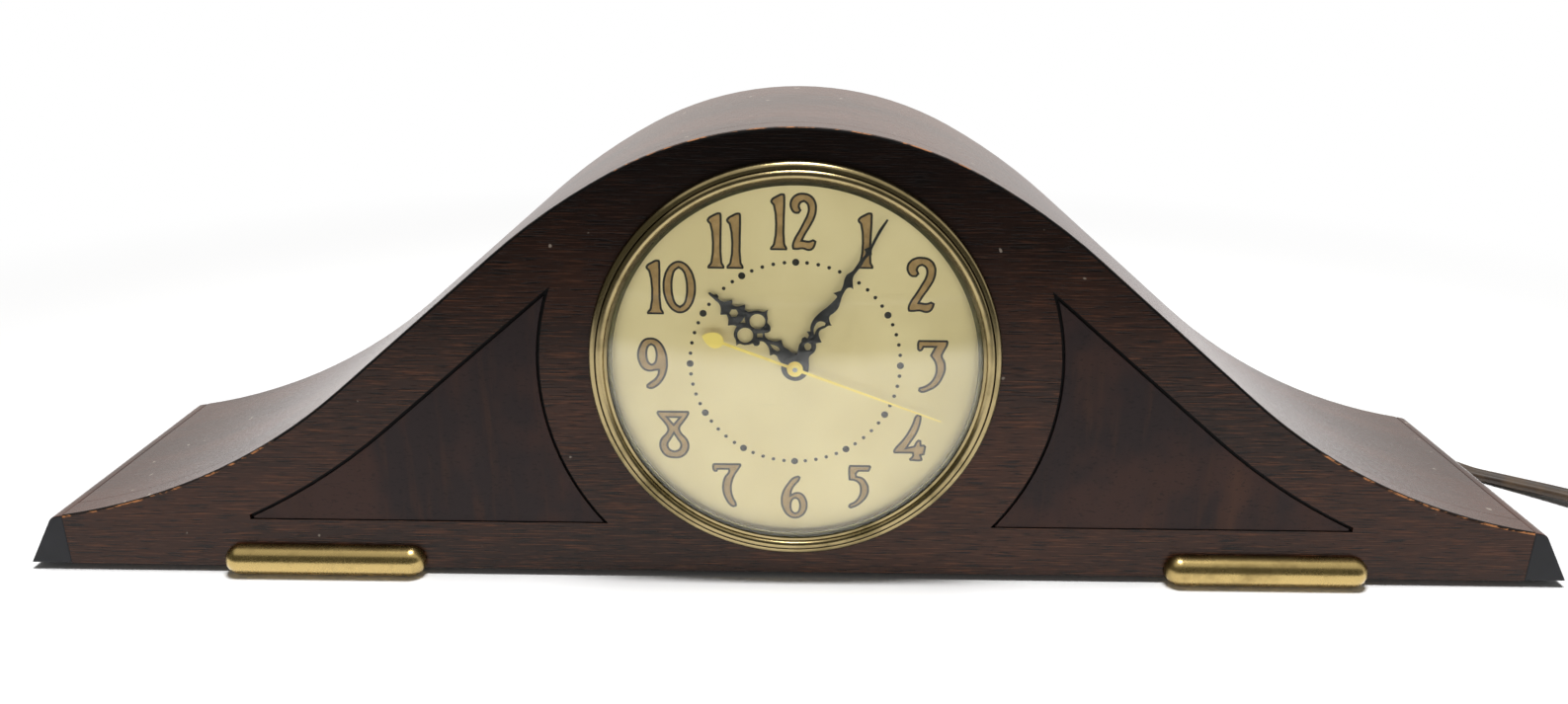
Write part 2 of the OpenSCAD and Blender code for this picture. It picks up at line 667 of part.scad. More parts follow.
bracket_posts = [[-27, -34], [2, -41], [4, -6]];
lever_at = [-8, -12];
lever_pin_r = 1.24;
module chime_bracket() color(steel) at_dial() {
    slab(bracket_y, bracket_y + 1.5) difference() {
        polygon([[-32, -38], [6, -46], [17, -27], [14, -17], [9, -1], [-1, -1], [-14, -8], [-31, -29]]);
        translate(chime_c) circle(1 + running);
    }
    for (p = bracket_posts) bar(2.5, back_out, bracket_y, p);
    bar(hammer_pin_r, back_in, bracket_y, hammer_c);
    bar(lever_pin_r, bracket_y, bracket_y + 4.4, lever_at);
}
module silencer_lever() color(steel) at_dial() {
    slab(bracket_y + 1.7, bracket_y + 2.9) translate(lever_at) difference() {
        union() {
            circle(3.5);
            rotate(138) translate([0, -2.5]) square([28, 5]);
            rotate(138) translate([28, 0]) circle(3.4);
        }
        circle(lever_pin_r + running);
    }
    bar(2.2, bracket_y + 2.9, bracket_y + 6, lever_at + 28 * [cos(138), sin(138)]);
}
block = [20, 34];
rod_z = 24;
rod_r = 1.6;
rod_len = [168, 157, 147, 138];
rod_seat = 8;
module rod_block() color(iron) at_case() difference() {
    translate([block[0], 50, bottom_t]) cube([block[1] - block[0], 36, 20]);
    for (y = tracks) translate([block[1] - rod_seat, y, rod_z]) rotate([0, 90, 0]) cylinder(r = rod_r + 0.05, h = 20);
    for (p = block_screws) translate([p.x, p.y, 0]) cylinder(r = screw_hole, h = 20);
}
module chime_rods() color("#c9a968") at_case() for (i = [0:3])
    translate([block[1] - rod_seat, tracks[i], rod_z]) rotate([0, 90, 0]) cylinder(r = rod_r, h = rod_len[i]);

// Leads inside the case and the cord outside, swept along hand-chosen routes
function unit(v) = v / norm(v);
function heading(p, i) = unit(p[min(i + 1, len(p) - 1)] - p[max(i - 1, 0)]);
// One ring of eight points across the route at point i
function ring(p, i, w, h) = let (
    t = heading(p, i), side = unit(cross(t, [0, 0, 1])), up = cross(side, t),
    shape = [[1, 0.4], [0.6, 1], [-0.6, 1], [-1, 0.4], [-1, -0.4], [-0.6, -1], [0.6, -1], [1, -0.4]])
    [for (s = shape) p[i] + side * s.x * w / 2 + up * s.y * h / 2];
module sweep(p, w, h) {
    n = len(p);
    polyhedron(
        points = [for (i = [0:n - 1]) each ring(p, i, w, h)],
        faces = concat(
            [[for (k = [0:7]) k]], [[for (k = [7:-1:0]) 8 * (n - 1) + k]],
            [for (i = [0:n - 2], k = [0:7]) each [
                [8 * i + k, 8 * (i + 1) + k, 8 * (i + 1) + (k + 1) % 8],
                [8 * i + k, 8 * (i + 1) + (k + 1) % 8, 8 * i + (k + 1) % 8]]]));
}
// Inside route, in the case's frame, from the cord's gland to the coil
lead_route = [[170, 100, 18.5], [170, 97, 18.5], [167.5, 93.5, 18], [162, 91, 17], [150, 90, 14.5],
    [130, 90, 12.4], [100, 90, 12], [60, 90, 12], [20, 90, 12], [-20, 90, 12], [-45, 90, 14],
    [-58, 88, 24], [-62, 84, 42], [-62, 78, 66], [-60, 72, 90], [-56, 67, 110], [-51, 63, 121],
    [-44, 60.5, 125.4], [-39, 60, 126], [-35, 60, 126]];
module inner_lead() color(rubber) at_case() sweep(lead_route, 3.4, 1.8);
relief_y = 127;
module strain_relief() color(rubber) at_case() {
    bar(7.5, back_y - 1.5, back_y, lead_at);
    bar(6.1, back_y - 1.5, panel_back + 2, lead_at);
    bar(7.8, panel_back, panel_back + 2, lead_at);
    translate([lead_at.x, panel_back + 2, lead_at.y]) rotate([-90, 0, 0])
        cylinder(r1 = 6, r2 = 4.6, h = relief_y - panel_back - 2);
}
// Outside route, in the clock's frame, from the strain relief to the coil
cord_route = [[170, 77, 21], [170, 86, 20.6], [172.5, 97.5, 18.4], [178.5, 107, 14.6], [187.5, 115, 10.2],
    [198.5, 120, 6.2], [211, 121.5, 3.4], [223.5, 118.5, 2.1], [234.5, 112, 1.9], [244, 103.5, 1.9],
    [252, 94, 1.9], [259, 84, 1.9], [265, 74, 1.9], [269.5, 64.5, 1.9], [272.5, 57, 1.9],
    [277, 50, 1.9], [282, 43.2, 1.9], [288.6, 36.6, 2.4], [295.1, 30, 3], [301.4, 23.6, 3.6],
    [306.7, 17.8, 4.1], [313, 12, 4.3], [320, 7, 4.2], [329, 2.8, 3.6], [339, -1.2, 2.8], [350, -6, 2.1],
    [360.5, -11.2, 1.9], [371.2, -16.2, 1.85]];
coil_c = [392, 28];
coil_in_r = 30;
coil_rings = 3;
coil_layers = 2;
coil_start = -115;
coil_turn = 325;
// From the coil's upper outer turn to the plug
plug_at = [413.5, -34.5, 11.5];
tail_route = [[349.8, 3.4, 5.6], [353.6, -4, 6.2], [358.5, -12.6, 6.9], [365.3, -21.4, 7.4],
    [374.8, -27.4, 8], [385.5, -31, 9.2], [396.5, -33, 10.6], [405.5, -34, 11.4], plug_at];
module cord_tube() color(rubber) {
    sweep(cord_route, cord_w, cord_h);
    sweep(tail_route, cord_w, cord_h);
}
module cord_coil() color(rubber) translate([coil_c.x, coil_c.y, 0]) {
    rotate_extrude($fn = 96) translate([coil_in_r, 0]) square([(coil_rings - 1) * cord_w, coil_layers * cord_h]);
    rotate([0, 0, coil_start]) rotate_extrude(angle = coil_turn, $fn = 96)
        translate([coil_in_r + (coil_rings - 1) * cord_w, 0]) square([cord_w, coil_layers * cord_h]);
}
plug_r = 11;
plug_turn = -4;
module at_plug() translate(plug_at) rotate([0, 0, plug_turn]) rotate([0, 90, 0]) children();
module plug_body() color(black) at_plug() {
    cylinder(r1 = 5, r2 = 7, h = 6);
    translate([0, 0, 6]) cylinder(r1 = 7, r2 = plug_r + 0.5, h = 4);
    translate([0, 0, 10]) cylinder(r = plug_r + 0.5, h = 16);
}
module plug_blades() color("#c8b878") at_plug() for (s = [-1, 1])
    translate([-3.2, s * 6.35 - 0.75, 26]) cube([6.4, 1.5, 16]);

case_front();
inlay_left();
inlay_right();
case_top();
end_left();
end_right();
bottom_board();
glue_blocks();
back_panel();
back_door();
hinge_leaf_fixed();
hinge_leaf_door();
hinge_pins();
door_latch();
latch_screw();
foot_left();
foot_right();
rear_feet();
wood_screws();
bezel();
bezel_glass();
glass_ring();
dial_plate();
hour_hand();
minute_hand();
second_hand();
front_plate();
back_plate();
pillars();
machine_screws();
minute_arbor();
hour_wheel();
minute_wheel();
set_arbor();
set_knob();
second_arbor();
intermediate_wheel();
centre_wheel();
motor_pinion();
motor_gear_case();
stator_core();
motor_coil();
motor_posts();
rotor();
chime_drum();
chime_pinion();
hammer_1();
hammer_2();
hammer_3();
hammer_4();
chime_bracket();
chime_rods();
rod_block();
silencer_lever();
inner_lead();
strain_relief();
cord_tube();
cord_coil();
plug_body();
plug_blades();
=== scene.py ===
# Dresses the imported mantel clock: wood, brass, glass, dial print, hands and cord
import math

import bmesh
import bpy
from mathutils import Matrix, Vector


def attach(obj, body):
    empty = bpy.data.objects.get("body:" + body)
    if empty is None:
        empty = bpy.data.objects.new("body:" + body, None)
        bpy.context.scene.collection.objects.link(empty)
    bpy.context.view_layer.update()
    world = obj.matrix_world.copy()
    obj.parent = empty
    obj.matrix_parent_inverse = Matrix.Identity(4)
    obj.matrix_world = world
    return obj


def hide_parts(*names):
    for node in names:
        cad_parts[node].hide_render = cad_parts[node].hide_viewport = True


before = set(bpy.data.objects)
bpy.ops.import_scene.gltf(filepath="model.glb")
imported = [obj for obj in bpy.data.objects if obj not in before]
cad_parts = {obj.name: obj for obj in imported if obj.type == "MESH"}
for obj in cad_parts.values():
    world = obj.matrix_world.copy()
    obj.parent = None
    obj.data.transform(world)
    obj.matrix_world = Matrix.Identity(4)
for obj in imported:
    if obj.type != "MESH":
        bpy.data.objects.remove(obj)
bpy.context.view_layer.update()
mm = 0.001  # the numbers below are millimetres, as in the CAD source
caseY = -50  # depth of the front board's face
dialZ = 78.4  # height of the dial's centre

# Camera, from the photograph's own frame
shot = {
    "width": 1587, "height": 713, "focal": 1239.06, "middle": (809.85, 401.44),
    "place": (5.84, -428.25, 210.4), "down": 20.627, "turn": -0.6227, "roll": 0.405,
}


def makeCamera(v):
    down, turn, roll = (math.radians(v[k]) for k in ("down", "turn", "roll"))
    ahead = Vector((math.sin(turn) * math.cos(down), math.cos(turn) * math.cos(down), -math.sin(down)))
    right = Vector((math.cos(turn), -math.sin(turn), 0))
    up = right.cross(ahead)
    sideways = right * math.cos(roll) + up * math.sin(roll)
    upright = up * math.cos(roll) - right * math.sin(roll)
    lens = bpy.data.cameras.new("camera")
    lens.sensor_width = 36
    lens.lens = 36 * v["focal"] / v["width"]
    lens.shift_x = 0.5 - v["middle"][0] / v["width"]
    lens.shift_y = (v["middle"][1] - v["height"] / 2) / v["width"]
    lens.clip_start = 0.01
    lens.clip_end = 30
    camera = bpy.data.objects.new("camera", lens)
    bpy.context.scene.collection.objects.link(camera)
    turned = Matrix((sideways, upright, -ahead)).transposed().to_4x4()
    camera.matrix_world = Matrix.Translation(Vector(v["place"]) * mm) @ turned
    bpy.context.scene.camera = camera


makeCamera(shot)
bpy.context.scene.view_settings.view_transform = "Standard"


# Shader maths

def paint(code):
    parts = [int(code[i:i + 2], 16) / 255 for i in (1, 3, 5)]
    return [c / 12.92 if c < 0.04045 else ((c + 0.055) / 1.055) ** 2.4 for c in parts] + [1]


class Amount:  # a socket that works in Python sums
    def __init__(self, finish, socket):
        self.finish = finish
        self.socket = socket

    def __add__(self, other):
        return self.finish.maths("ADD", self, other)

    def __radd__(self, other):
        return self.finish.maths("ADD", other, self)

    def __sub__(self, other):
        return self.finish.maths("SUBTRACT", self, other)

    def __rsub__(self, other):
        return self.finish.maths("SUBTRACT", other, self)

    def __mul__(self, other):
        return self.finish.maths("MULTIPLY", self, other)

    def __rmul__(self, other):
        return self.finish.maths("MULTIPLY", other, self)

    def __pow__(self, other):
        return self.finish.maths("POWER", self, other)


class Finish:
    def __init__(self, name, **constants):
        self.material = bpy.data.materials.new(name)
        self.material.use_nodes = True
        self.nodes = self.material.node_tree.nodes
        self.shader = self.nodes["Principled BSDF"]
        self.output = self.nodes["Material Output"]
        for word, value in constants.items():
            self.set(word.replace("_", " ").title().replace("Ior", "IOR"), value)

    def set(self, socket, value):
        if isinstance(value, str):
            value = paint(value)
        if isinstance(value, Amount):
            self.material.node_tree.links.new(value.socket, self.shader.inputs[socket])
        else:
            self.shader.inputs[socket].default_value = value

    def add(self, kind, settings, values, out=0):
        node = self.nodes.new("ShaderNode" + kind)
        for word, value in settings.items():
            if word == "stops":
                while len(node.color_ramp.elements) < len(value):
                    node.color_ramp.elements.new(0.5)
                for stop, (at, colour) in zip(node.color_ramp.elements, value):
                    stop.position = at
                    stop.color = paint(colour)
            else:
                setattr(node, word, value)
        for word, value in values.items():
            if isinstance(value, str):
                value = paint(value)
            if isinstance(value, Amount):
                self.material.node_tree.links.new(value.socket, node.inputs[word])
            elif value is not None:
                node.inputs[word].default_value = value
        return Amount(self, node.outputs[out])

    def maths(self, operation, first, second=None):
        return self.add("Math", {"operation": operation}, {0: first, 1: second})

    def place(self, scale=(1, 1, 1), move=(0, 0, 0), turn=(0, 0, 0), source="Object"):
        spot = self.add("TexCoord", {}, {}, source)
        return self.add("Mapping", {}, {"Vector": spot, "Scale": scale, "Location": move,
                                        "Rotation": [math.radians(a) for a in turn]})

    def noise(self, scale, detail=2, rough=0.5, **places):
        spot = self.place(scale, **places)
        return self.add("TexNoise", {}, {"Vector": spot, "Scale": 1, "Detail": detail, "Roughness": rough})

    def ramp(self, amount, *stops):
        return self.add("ValToRGB", {"stops": stops}, {"Fac": amount})

    def band(self, amount, low, high, bottom=0, top=1):  # smooth step between low and high
        return self.add("MapRange", {"interpolation_type": "SMOOTHSTEP"}, {
            "Value": amount, "From Min": low, "From Max": high, "To Min": bottom, "To Max": top})

    def mix(self, factor, first, second, blend="MIX"):
        settings = {"data_type": "RGBA", "blend_type": blend}
        return self.add("Mix", settings, {0: factor, 6: first, 7: second}, 2)

    def parts(self, source="Object"):  # x, y and z of the place
        spot = self.add("TexCoord", {}, {}, source)
        return [self.add("SeparateXYZ", {}, {0: spot}, axis) for axis in range(3)]

    def bump(self, height, distance, strength=1):
        self.set("Normal", self.add("Bump", {}, {"Height": height, "Distance": distance * mm,
                                                 "Strength": strength}))


# Materials of the case

def woodFinish(name, light, dark, pore, streak, gloss, fleck=0.5, paintedShade=0):
    f = Finish(name, specular_ior_level=gloss["specular"])
    broad = f.noise((5, 30, 32), 3, 0.6)
    fine = f.noise((60, 1200, 1900), 3, 0.65)
    pores = f.noise((90, 1400, 1700), 2, 0.5)
    under = f.mix(f.band(broad, 0.35, 0.68), dark, light)
    brown = f.mix(f.band(fine, 0.5, 0.7) * streak, under, gloss["grain"])
    holes = f.band(pores, 0.54, 0.64)
    brown = f.mix(holes * pore, brown, "#080403")
    # painted shade: the colour darkens towards near-black with height, between 70 and 155 mm, standing in for
    # the shade on the upper front
    if paintedShade:
        brown = f.mix(f.band(f.parts()[2], 0.07, 0.155) * paintedShade, brown, "#050303")
    specks = f.noise((300, 300, 300), 1, 0.4)
    f.set("Base Color", f.mix(f.band(specks, 0.77, 0.8) * fleck, brown, "#A79A8C"))
    f.set("Roughness", f.band(fine, 0.3, 0.8, gloss["low"], gloss["high"]))
    f.bump(1 - holes, 0.05, gloss["bump"])
    return f


def panelFinish():
    f = Finish("flamePanel", specular_ior_level=0.14)
    flame = f.noise((60, 60, 12), 2, 0.5, move=(0.34, 0, 0.1))
    cloud = f.noise((26, 26, 20), 3, 0.6)
    streaks = f.noise((240, 240, 22), 3, 0.6)
    pores = f.noise((600, 1500, 1500), 2, 0.5)
    base = f.mix(f.band(cloud, 0.42, 0.62), "#241B1B", "#36241F")
    base = f.mix(f.band(streaks, 0.5, 0.8) * 0.6, base, "#3C2A22")
    base = f.mix(f.band(flame, 0.62, 0.78) * 0.45, base, "#573826")
    f.set("Base Color", f.mix(f.band(pores, 0.6, 0.68) * 0.5, base, "#0E0A0A"))
    f.set("Roughness", f.band(streaks, 0.3, 0.8, 0.4, 0.5))
    f.bump(pores, 0.03, 0.25)
    return f


def ebonisedFinish():
    f = Finish("ebonised", specular_ior_level=0.2)
    cloud = f.noise((30, 30, 30), 3, 0.6)
    scuff = f.noise((500, 60, 500), 3, 0.7)
    f.set("Base Color", f.mix(f.band(cloud, 0.35, 0.7), "#101114", "#1C1C22"))
    f.set("Roughness", f.band(scuff, 0.4, 0.75, 0.3, 0.5))
    f.bump(scuff, 0.03, 0.2)
    return f


def wornFinish():
    f = Finish("wornEdge", specular_ior_level=0.25)
    chips = f.noise((110, 400, 400), 4, 0.7)
    bare = f.band(chips, 0.49, 0.58)
    f.set("Base Color", f.mix(bare, "#20120C", "#A87046"))
    f.set("Roughness", f.band(chips, 0.4, 0.6, 0.4, 0.65))
    return f


def plainWoodFinish():
    f = Finish("plainWood", specular_ior_level=0.2)
    grain = f.noise((12, 200, 260), 4, 0.6)
    pores = f.noise((60, 1800, 1800), 2, 0.5)
    base = f.ramp(grain, (0.3, "#4F3524"), (0.55, "#6C4B34"), (0.75, "#7D5A3F"))
    f.set("Base Color", f.mix(f.band(pores, 0.58, 0.68) * 0.6, base, "#2C1A10"))
    f.set("Roughness", f.band(grain, 0.3, 0.8, 0.5, 0.66))
    f.bump(pores, 0.05, 0.3)
    return f


def metalFinish(name, clean, stained, rough=(0.2, 0.36), stain=(0.5, 0.72), scale=60, metal=1):
    f = Finish(name, metallic=metal)
    cloud = f.noise((scale, scale, scale), 4, 0.65)
    hair = f.noise((1400, 1400, 1400), 2, 0.5)
    f.set("Base Color", f.mix(f.band(cloud, *stain), clean, stained))
    f.set("Roughness", f.band(cloud * 0.7 + hair * 0.3, 0.35, 0.68, *rough))
    f.bump(hair, 0.01, 0.2)
    return f


def paintFinish(name, light, dark, rough=(0.4, 0.55), scale=120, specular=0.4, grain=900):
    f = Finish(name, specular_ior_level=specular)
    cloud = f.noise((scale, scale, scale), 3, 0.6)
    hair = f.noise((grain, grain, grain), 2, 0.5)
    f.set("Base Color", f.mix(f.band(cloud, 0.35, 0.7), dark, light))
    f.set("Roughness", f.band(cloud, 0.3, 0.7, *rough))
    f.bump(hair, 0.02, 0.25)
    return f


def dialFinish():
    f = Finish("dialPaint", specular_ior_level=0.3)
    cloud = f.noise((28, 28, 28), 3, 0.6)
    age = f.noise((9, 9, 9), 2, 0.5, move=(0.4, 0.1, 0.2))
    scratch = f.noise((18, 400, 2200), 2, 0.4, turn=(0, 24, 0))
    base = f.mix(f.band(cloud, 0.35, 0.7), "#E0D098", "#EADBA4")
    base = f.mix(f.band(age, 0.5, 0.72) * 0.5, base, "#CDBF86")
    f.set("Base Color", f.mix(f.band(scratch, 0.74, 0.78) * 0.35, base, "#8C805A"))
    f.set("Roughness", f.band(cloud, 0.3, 0.7, 0.5, 0.62))
    return f


def glassFinish():
    f = Finish("clockGlass", transmission_weight=1, roughness=0.02, ior=1.5)
    f.set("Base Color", [0.97, 0.975, 0.96, 1])
    return f


gloss = {"specular": 0.17, "low": 0.22, "high": 0.32, "grain": "#663D26", "bump": 0.4}
topGloss = {"specular": 0.24, "low": 0.26, "high": 0.32, "grain": "#563222", "bump": 0.04}
finishes = {
    # the front board's walnut, with painted shade darkening its upper part
    "walnut": woodFinish("walnut", "#382015", "#22130C", 0.85, 0.65, gloss, paintedShade=0.9),
    "bentWalnut": woodFinish("bentWalnut", "#502E22", "#3A2018", 0.3, 0.3, topGloss, fleck=0.8),
    "panel": panelFinish(),
    "ebonised": ebonisedFinish(),
    "worn": wornFinish(),
    "plain_wood": plainWoodFinish(),
    "brass": metalFinish("brass", "#A28D5C", "#766540", (0.24, 0.34), (0.45, 0.75)),
    # bezelBrass: a darker copy of the feet's brass, its base colour lowered to stand in for the dark
    # reflections on the bezel (painted shade)
    "bezelBrass": metalFinish("bezelBrass", "#8C7E5C", "#5C5236", (0.14, 0.28), (0.45, 0.72), 36),
    "tarnished": metalFinish("tarnished", "#6A6444", "#4A4630", (0.3, 0.4)),
    "gilt": metalFinish("gilt", "#F4DE74", "#DABC4A", (0.35, 0.45), metal=0.4),
    "steel": metalFinish("steel", "#A9ABAD", "#7C7B78", (0.28, 0.42)),
    "bronze": metalFinish("bronze", "#C39C5E", "#7E6238", (0.25, 0.4)),
    "zinc": metalFinish("zinc", "#A3A39C", "#77776F", (0.35, 0.5)),
    "iron": metalFinish("iron", "#4A4B4D", "#2C2927", (0.4, 0.6)),
    "dial": dialFinish(),
    "glass": glassFinish(),
    "black": paintFinish("blackPaint", "#1B1E1D", "#0C0E0E", (0.3, 0.45), specular=0.45),
    "felt": paintFinish("darkFelt", "#2A2826", "#161514", (0.85, 0.95), 800, 0.1, 3000),
    "coil": paintFinish("coilTape", "#8A4B2C", "#5F2F1B", (0.4, 0.55), 200, 0.4, 1500),
    "cord": paintFinish("cordRubber", "#4E3C2A", "#2C2119", (0.42, 0.56), 70, 0.4, 2200),
    "plug": paintFinish("plugRubber", "#1D1B19", "#100F0E", (0.4, 0.52), 160, 0.4, 1800),
    # near-black: painted shade on the groove faces round the panels, and the colour of the dark joint line
    # under the top sheet
    "groove": paintFinish("grooveShadeAndJoint", "#080606", "#050404", (0.5, 0.6), 200, 0.1),
    "ink": paintFinish("printInk", "#2E2B22", "#23211A", (0.5, 0.6), 400, 0.25, 3000),
    "numeralTan": paintFinish("numeralTan", "#B3945F", "#9C804E", (0.5, 0.6), 300, 0.25, 3000),
}
print("finishes made", len(finishes))


# Helpers for pieces

def placed(name, data):
    thing = bpy.data.objects.new(name, data)
    bpy.context.scene.collection.objects.link(thing)
    return thing


def evaluated(thing):  # mesh of a curve object, which is then removed
    bpy.context.view_layer.update()
    mesh = bpy.data.meshes.new_from_object(thing.evaluated_get(bpy.context.evaluated_depsgraph_get()))
    bpy.data.objects.remove(thing)
    return mesh


def written(name, bm):
    mesh = bpy.data.meshes.new(name)
    bm.to_mesh(mesh)
    bm.free()
    return mesh


def addPiece(name, mesh, finish, body, nodes=(), smooth=32, size=mm):
    if isinstance(mesh, bmesh.types.BMesh):
        mesh = written(name, mesh)
    mesh.transform(Matrix.Scale(size, 4))
    for face in mesh.polygons:
        face.use_smooth = True
    mesh.set_sharp_from_angle(angle=math.radians(smooth))
    for word in [finish] if isinstance(finish, str) else finish:
        mesh.materials.append(finishes[word].material)
    piece = placed(name, mesh)
    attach(piece, body)
    if nodes:
        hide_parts(*nodes)
    return piece


def bevelEdges(bm, edges, width, clamp=True):
    bmesh.ops.bevel(bm, geom=edges, offset=width, offset_type="OFFSET", segments=2, profile=0.5,
                    affect="EDGES", clamp_overlap=clamp, material=-1)


def sharpEdges(bm, angle=math.radians(32)):
    return [e for e in bm.edges if e.is_manifold and e.calc_face_angle() > angle]


def cadCopy(node):  # a merged copy of a CAD node, in metres
    bm = bmesh.new()
    bm.from_mesh(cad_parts[node].data)
    bmesh.ops.remove_doubles(bm, verts=bm.verts, dist=0.01 * mm)
    bmesh.ops.dissolve_limit(bm, angle_limit=math.radians(0.5), verts=bm.verts, edges=bm.edges)
    return bm


def dressed(name, node, finish, body, slot, width, sort=None, smooth=32, rim=0):
    bm = cadCopy(node)
    if rim:
        bevelEdges(bm, upperRim(bm), rim * mm, clamp=False)
    bevelEdges(bm, sharpEdges(bm), width * mm)
    bm.normal_update()
    for face in bm.faces:
        face.material_index = sort(face.normal, face.calc_center_median() / mm) if sort else 0
    piece = addPiece(name, bm, finish, body, [node], smooth, 1)
    piece.modifiers.new("evenShading", "WEIGHTED_NORMAL").keep_sharp = True
    return piece


def arc(centre, radius, start, end, steps):
    angles = [math.radians(start + (end - start) * i / steps) for i in range(steps + 1)]
    return [(centre[0] + radius * math.cos(a), centre[1] + radius * math.sin(a)) for a in angles]


def turned(profile, steps=192, closed=True):  # spins radius and depth about the dial's axis
    bm = bmesh.new()
    verts = [bm.verts.new((r, y, 0)) for r, y in profile]
    pairs = list(zip(verts, verts[1:] + verts[:1] if closed else verts[1:]))
    edges = [bm.edges.new(pair) for pair in pairs]
    bmesh.ops.spin(bm, geom=verts + edges, axis=(0, 1, 0), cent=(0, 0, 0), angle=2 * math.pi, steps=steps,
                   use_merge=True)
    bmesh.ops.remove_doubles(bm, verts=bm.verts, dist=0.001)
    bmesh.ops.recalc_face_normals(bm, faces=bm.faces)
    return bm


def toDial(bm):
    bmesh.ops.translate(bm, verts=bm.verts, vec=(0, caseY, dialZ))
    return bm


# Cord: the route's points are those of the CAD source, in millimetres
cord = {
    "width": 7.4, "height": 3.7, "length": 1.8,
    "route": [
        (170, 77, 21), (170, 86, 20.6), (172.5, 97.5, 18.4), (178.5, 107, 14.6), (187.5, 115, 10.2),
        (198.5, 120, 6.2), (211, 121.5, 3.4), (223.5, 118.5, 2.1), (234.5, 112, 1.9), (244, 103.5, 1.9),
        (252, 94, 1.9), (259, 84, 1.9), (265, 74, 1.9), (269.5, 64.5, 1.9), (272.5, 57, 1.9),
        (277, 50, 1.9), (282, 43.2, 1.9), (288.6, 36.6, 2.4), (295.1, 30, 3), (301.4, 23.6, 3.6),
        (306.7, 17.8, 4.1), (313, 12, 4.3), (320, 7, 4.2), (329, 2.8, 3.6), (339, -1.2, 2.8), (350, -6, 2.1),
        (360.5, -11.2, 1.9)],
    "tail": [
        (353.6, -4, 6.2), (358.5, -12.6, 6.9), (365.3, -21.4, 7.4), (374.8, -27.4, 8), (385.5, -31, 9.2),
        (396.5, -33, 10.6), (405.5, -34, 11.4), (413.5, -34.5, 11.5)],
    "coil": {"middle": (392, 28), "radii": (48.5, 41.1, 33.7), "start": -115, "turns": 2125, "step": 15,
             "crossing": (240, 360), "floor": 1.85},
}


def ease(t):
    t = min(max(t, 0), 1)
    return t * t * (3 - 2 * t)


def coilPoints(v, lift):
    order = v["radii"] + v["radii"][::-1]
    points = []
    low, high = v["crossing"]
    for turn in range(0, v["turns"] + 1, v["step"]):
        lap, angle = divmod(turn, 360)
        share = ease((angle - low) / (high - low))
        after = order[min(lap + 1, len(order) - 1)]
        radius = order[lap] + (after - order[lap]) * share
        upper = 1 if lap > 2 else share if lap == 2 else 0
        a = math.radians(v["start"] + turn)
        points.append((v["middle"][0] + radius * math.cos(a), v["middle"][1] + radius * math.sin(a),
                       v["floor"] + lift * upper))
    return points


def throughPoints(points, steps):  # Catmull-Rom line through the points
    p = [Vector(q) for q in points]
    p = [2 * p[0] - p[1]] + p + [2 * p[-1] - p[-2]]
    line = []
    for a, b, c, d in zip(p, p[1:], p[2:], p[3:]):
        for i in range(steps):
            t = i / steps
            line.append(0.5 * (2 * b + (c - a) * t + (2 * a - 5 * b + 4 * c - d) * t ** 2
                               + (3 * b - 3 * c + d - a) * t ** 3))
    return line + [p[-2]]


def twinSection(w, h):  # two round wires side by side, joined in the middle
    r = h / 2
    gap = w / 2 - r
    right = arc((gap, 0), r, 166, -166, 16)
    return right + [(-x, -z) for x, z in right]


def sweptTube(name, line, section):
    outline = bpy.data.curves.new(name + "Section", "CURVE")
    loop = outline.splines.new("POLY")
    loop.points.add(len(section) - 1)
    for point, (x, z) in zip(loop.points, section):
        point.co = (x * mm, z * mm, 0, 1)
    loop.use_cyclic_u = True
    shape = placed(name + "Section", outline)
    path = bpy.data.curves.new(name + "Path", "CURVE")
    path.dimensions = "3D"
    path.twist_mode = "Z_UP"
    run = path.splines.new("POLY")
    run.points.add(len(line) - 1)
    for point, place in zip(run.points, line):
        point.co = (*(place * mm), 1)
    path.bevel_mode = "OBJECT"
    path.bevel_object = shape
    path.use_fill_caps = True
    mesh = evaluated(placed(name + "Path", path))
    bpy.data.objects.remove(shape)
    bm = bmesh.new()
    bm.from_mesh(mesh)
    bmesh.ops.remove_doubles(bm, verts=bm.verts, dist=0.01 * mm)
    bmesh.ops.recalc_face_normals(bm, faces=bm.faces)
    bm.to_mesh(mesh)
    bm.free()
    return mesh


def alongX(bm, at, turn):  # lays a piece spun about y along x
    aside = Matrix.Rotation(math.radians(turn - 90), 3, "Z")
    bmesh.ops.rotate(bm, verts=bm.verts, cent=(0, 0, 0), matrix=aside)
    bmesh.ops.translate(bm, verts=bm.verts, vec=at)
    return bm


relief = {"at": (170, 50, 21), "end": 77, "flange": 7.8, "base": 6, "tip": 4.6, "grooves": 7, "cut": 0.45}
plug = {
    "at": (413.5, -34.5, 11.5), "turn": -4, "radius": 11.5, "neck": 5, "length": 26, "grips": 5, "cut": 0.5,
}


def reliefProfile(v):
    run = v["end"] - v["at"][1]
    profile = [(0, 0), (v["base"], 0), (v["base"], 5.5), (v["flange"], 5.5), (v["flange"], 7.2),
               (v["flange"] - 0.4, 7.5), (v["base"], 7.5)]
    start = 9
    pitch = (run - start - 1) / v["grooves"]
    for i in range(v["grooves"]):
        for share, cut in ((0, 0), (0.5, 0), (0.58, 1), (0.9, 1), (0.98, 0)):
            y = start + pitch * (i + share)
            radius = v["base"] + (v["tip"] - v["base"]) * (y - 7.5) / (run - 7.5)
            profile.append((radius - cut * v["cut"], y))
    return profile + [(v["tip"], run - 0.4), (v["tip"] - 0.4, run), (0, run)]


def plugProfile(v):
    r = v["radius"]
    profile = [(0, 0), (v["neck"], 0), (7, 6)] + arc((r - 3, 10), 3, -60, 0, 4)
    for i in range(v["grips"]):
        y = 11.5 + 2.2 * i
        profile += [(r, y), (r - v["cut"], y + 0.4), (r - v["cut"], y + 1.2), (r, y + 1.6)]
    return profile + arc((r - 0.8, v["length"] - 0.8), 0.8, 0, 90, 4) + [(0, v["length"])]


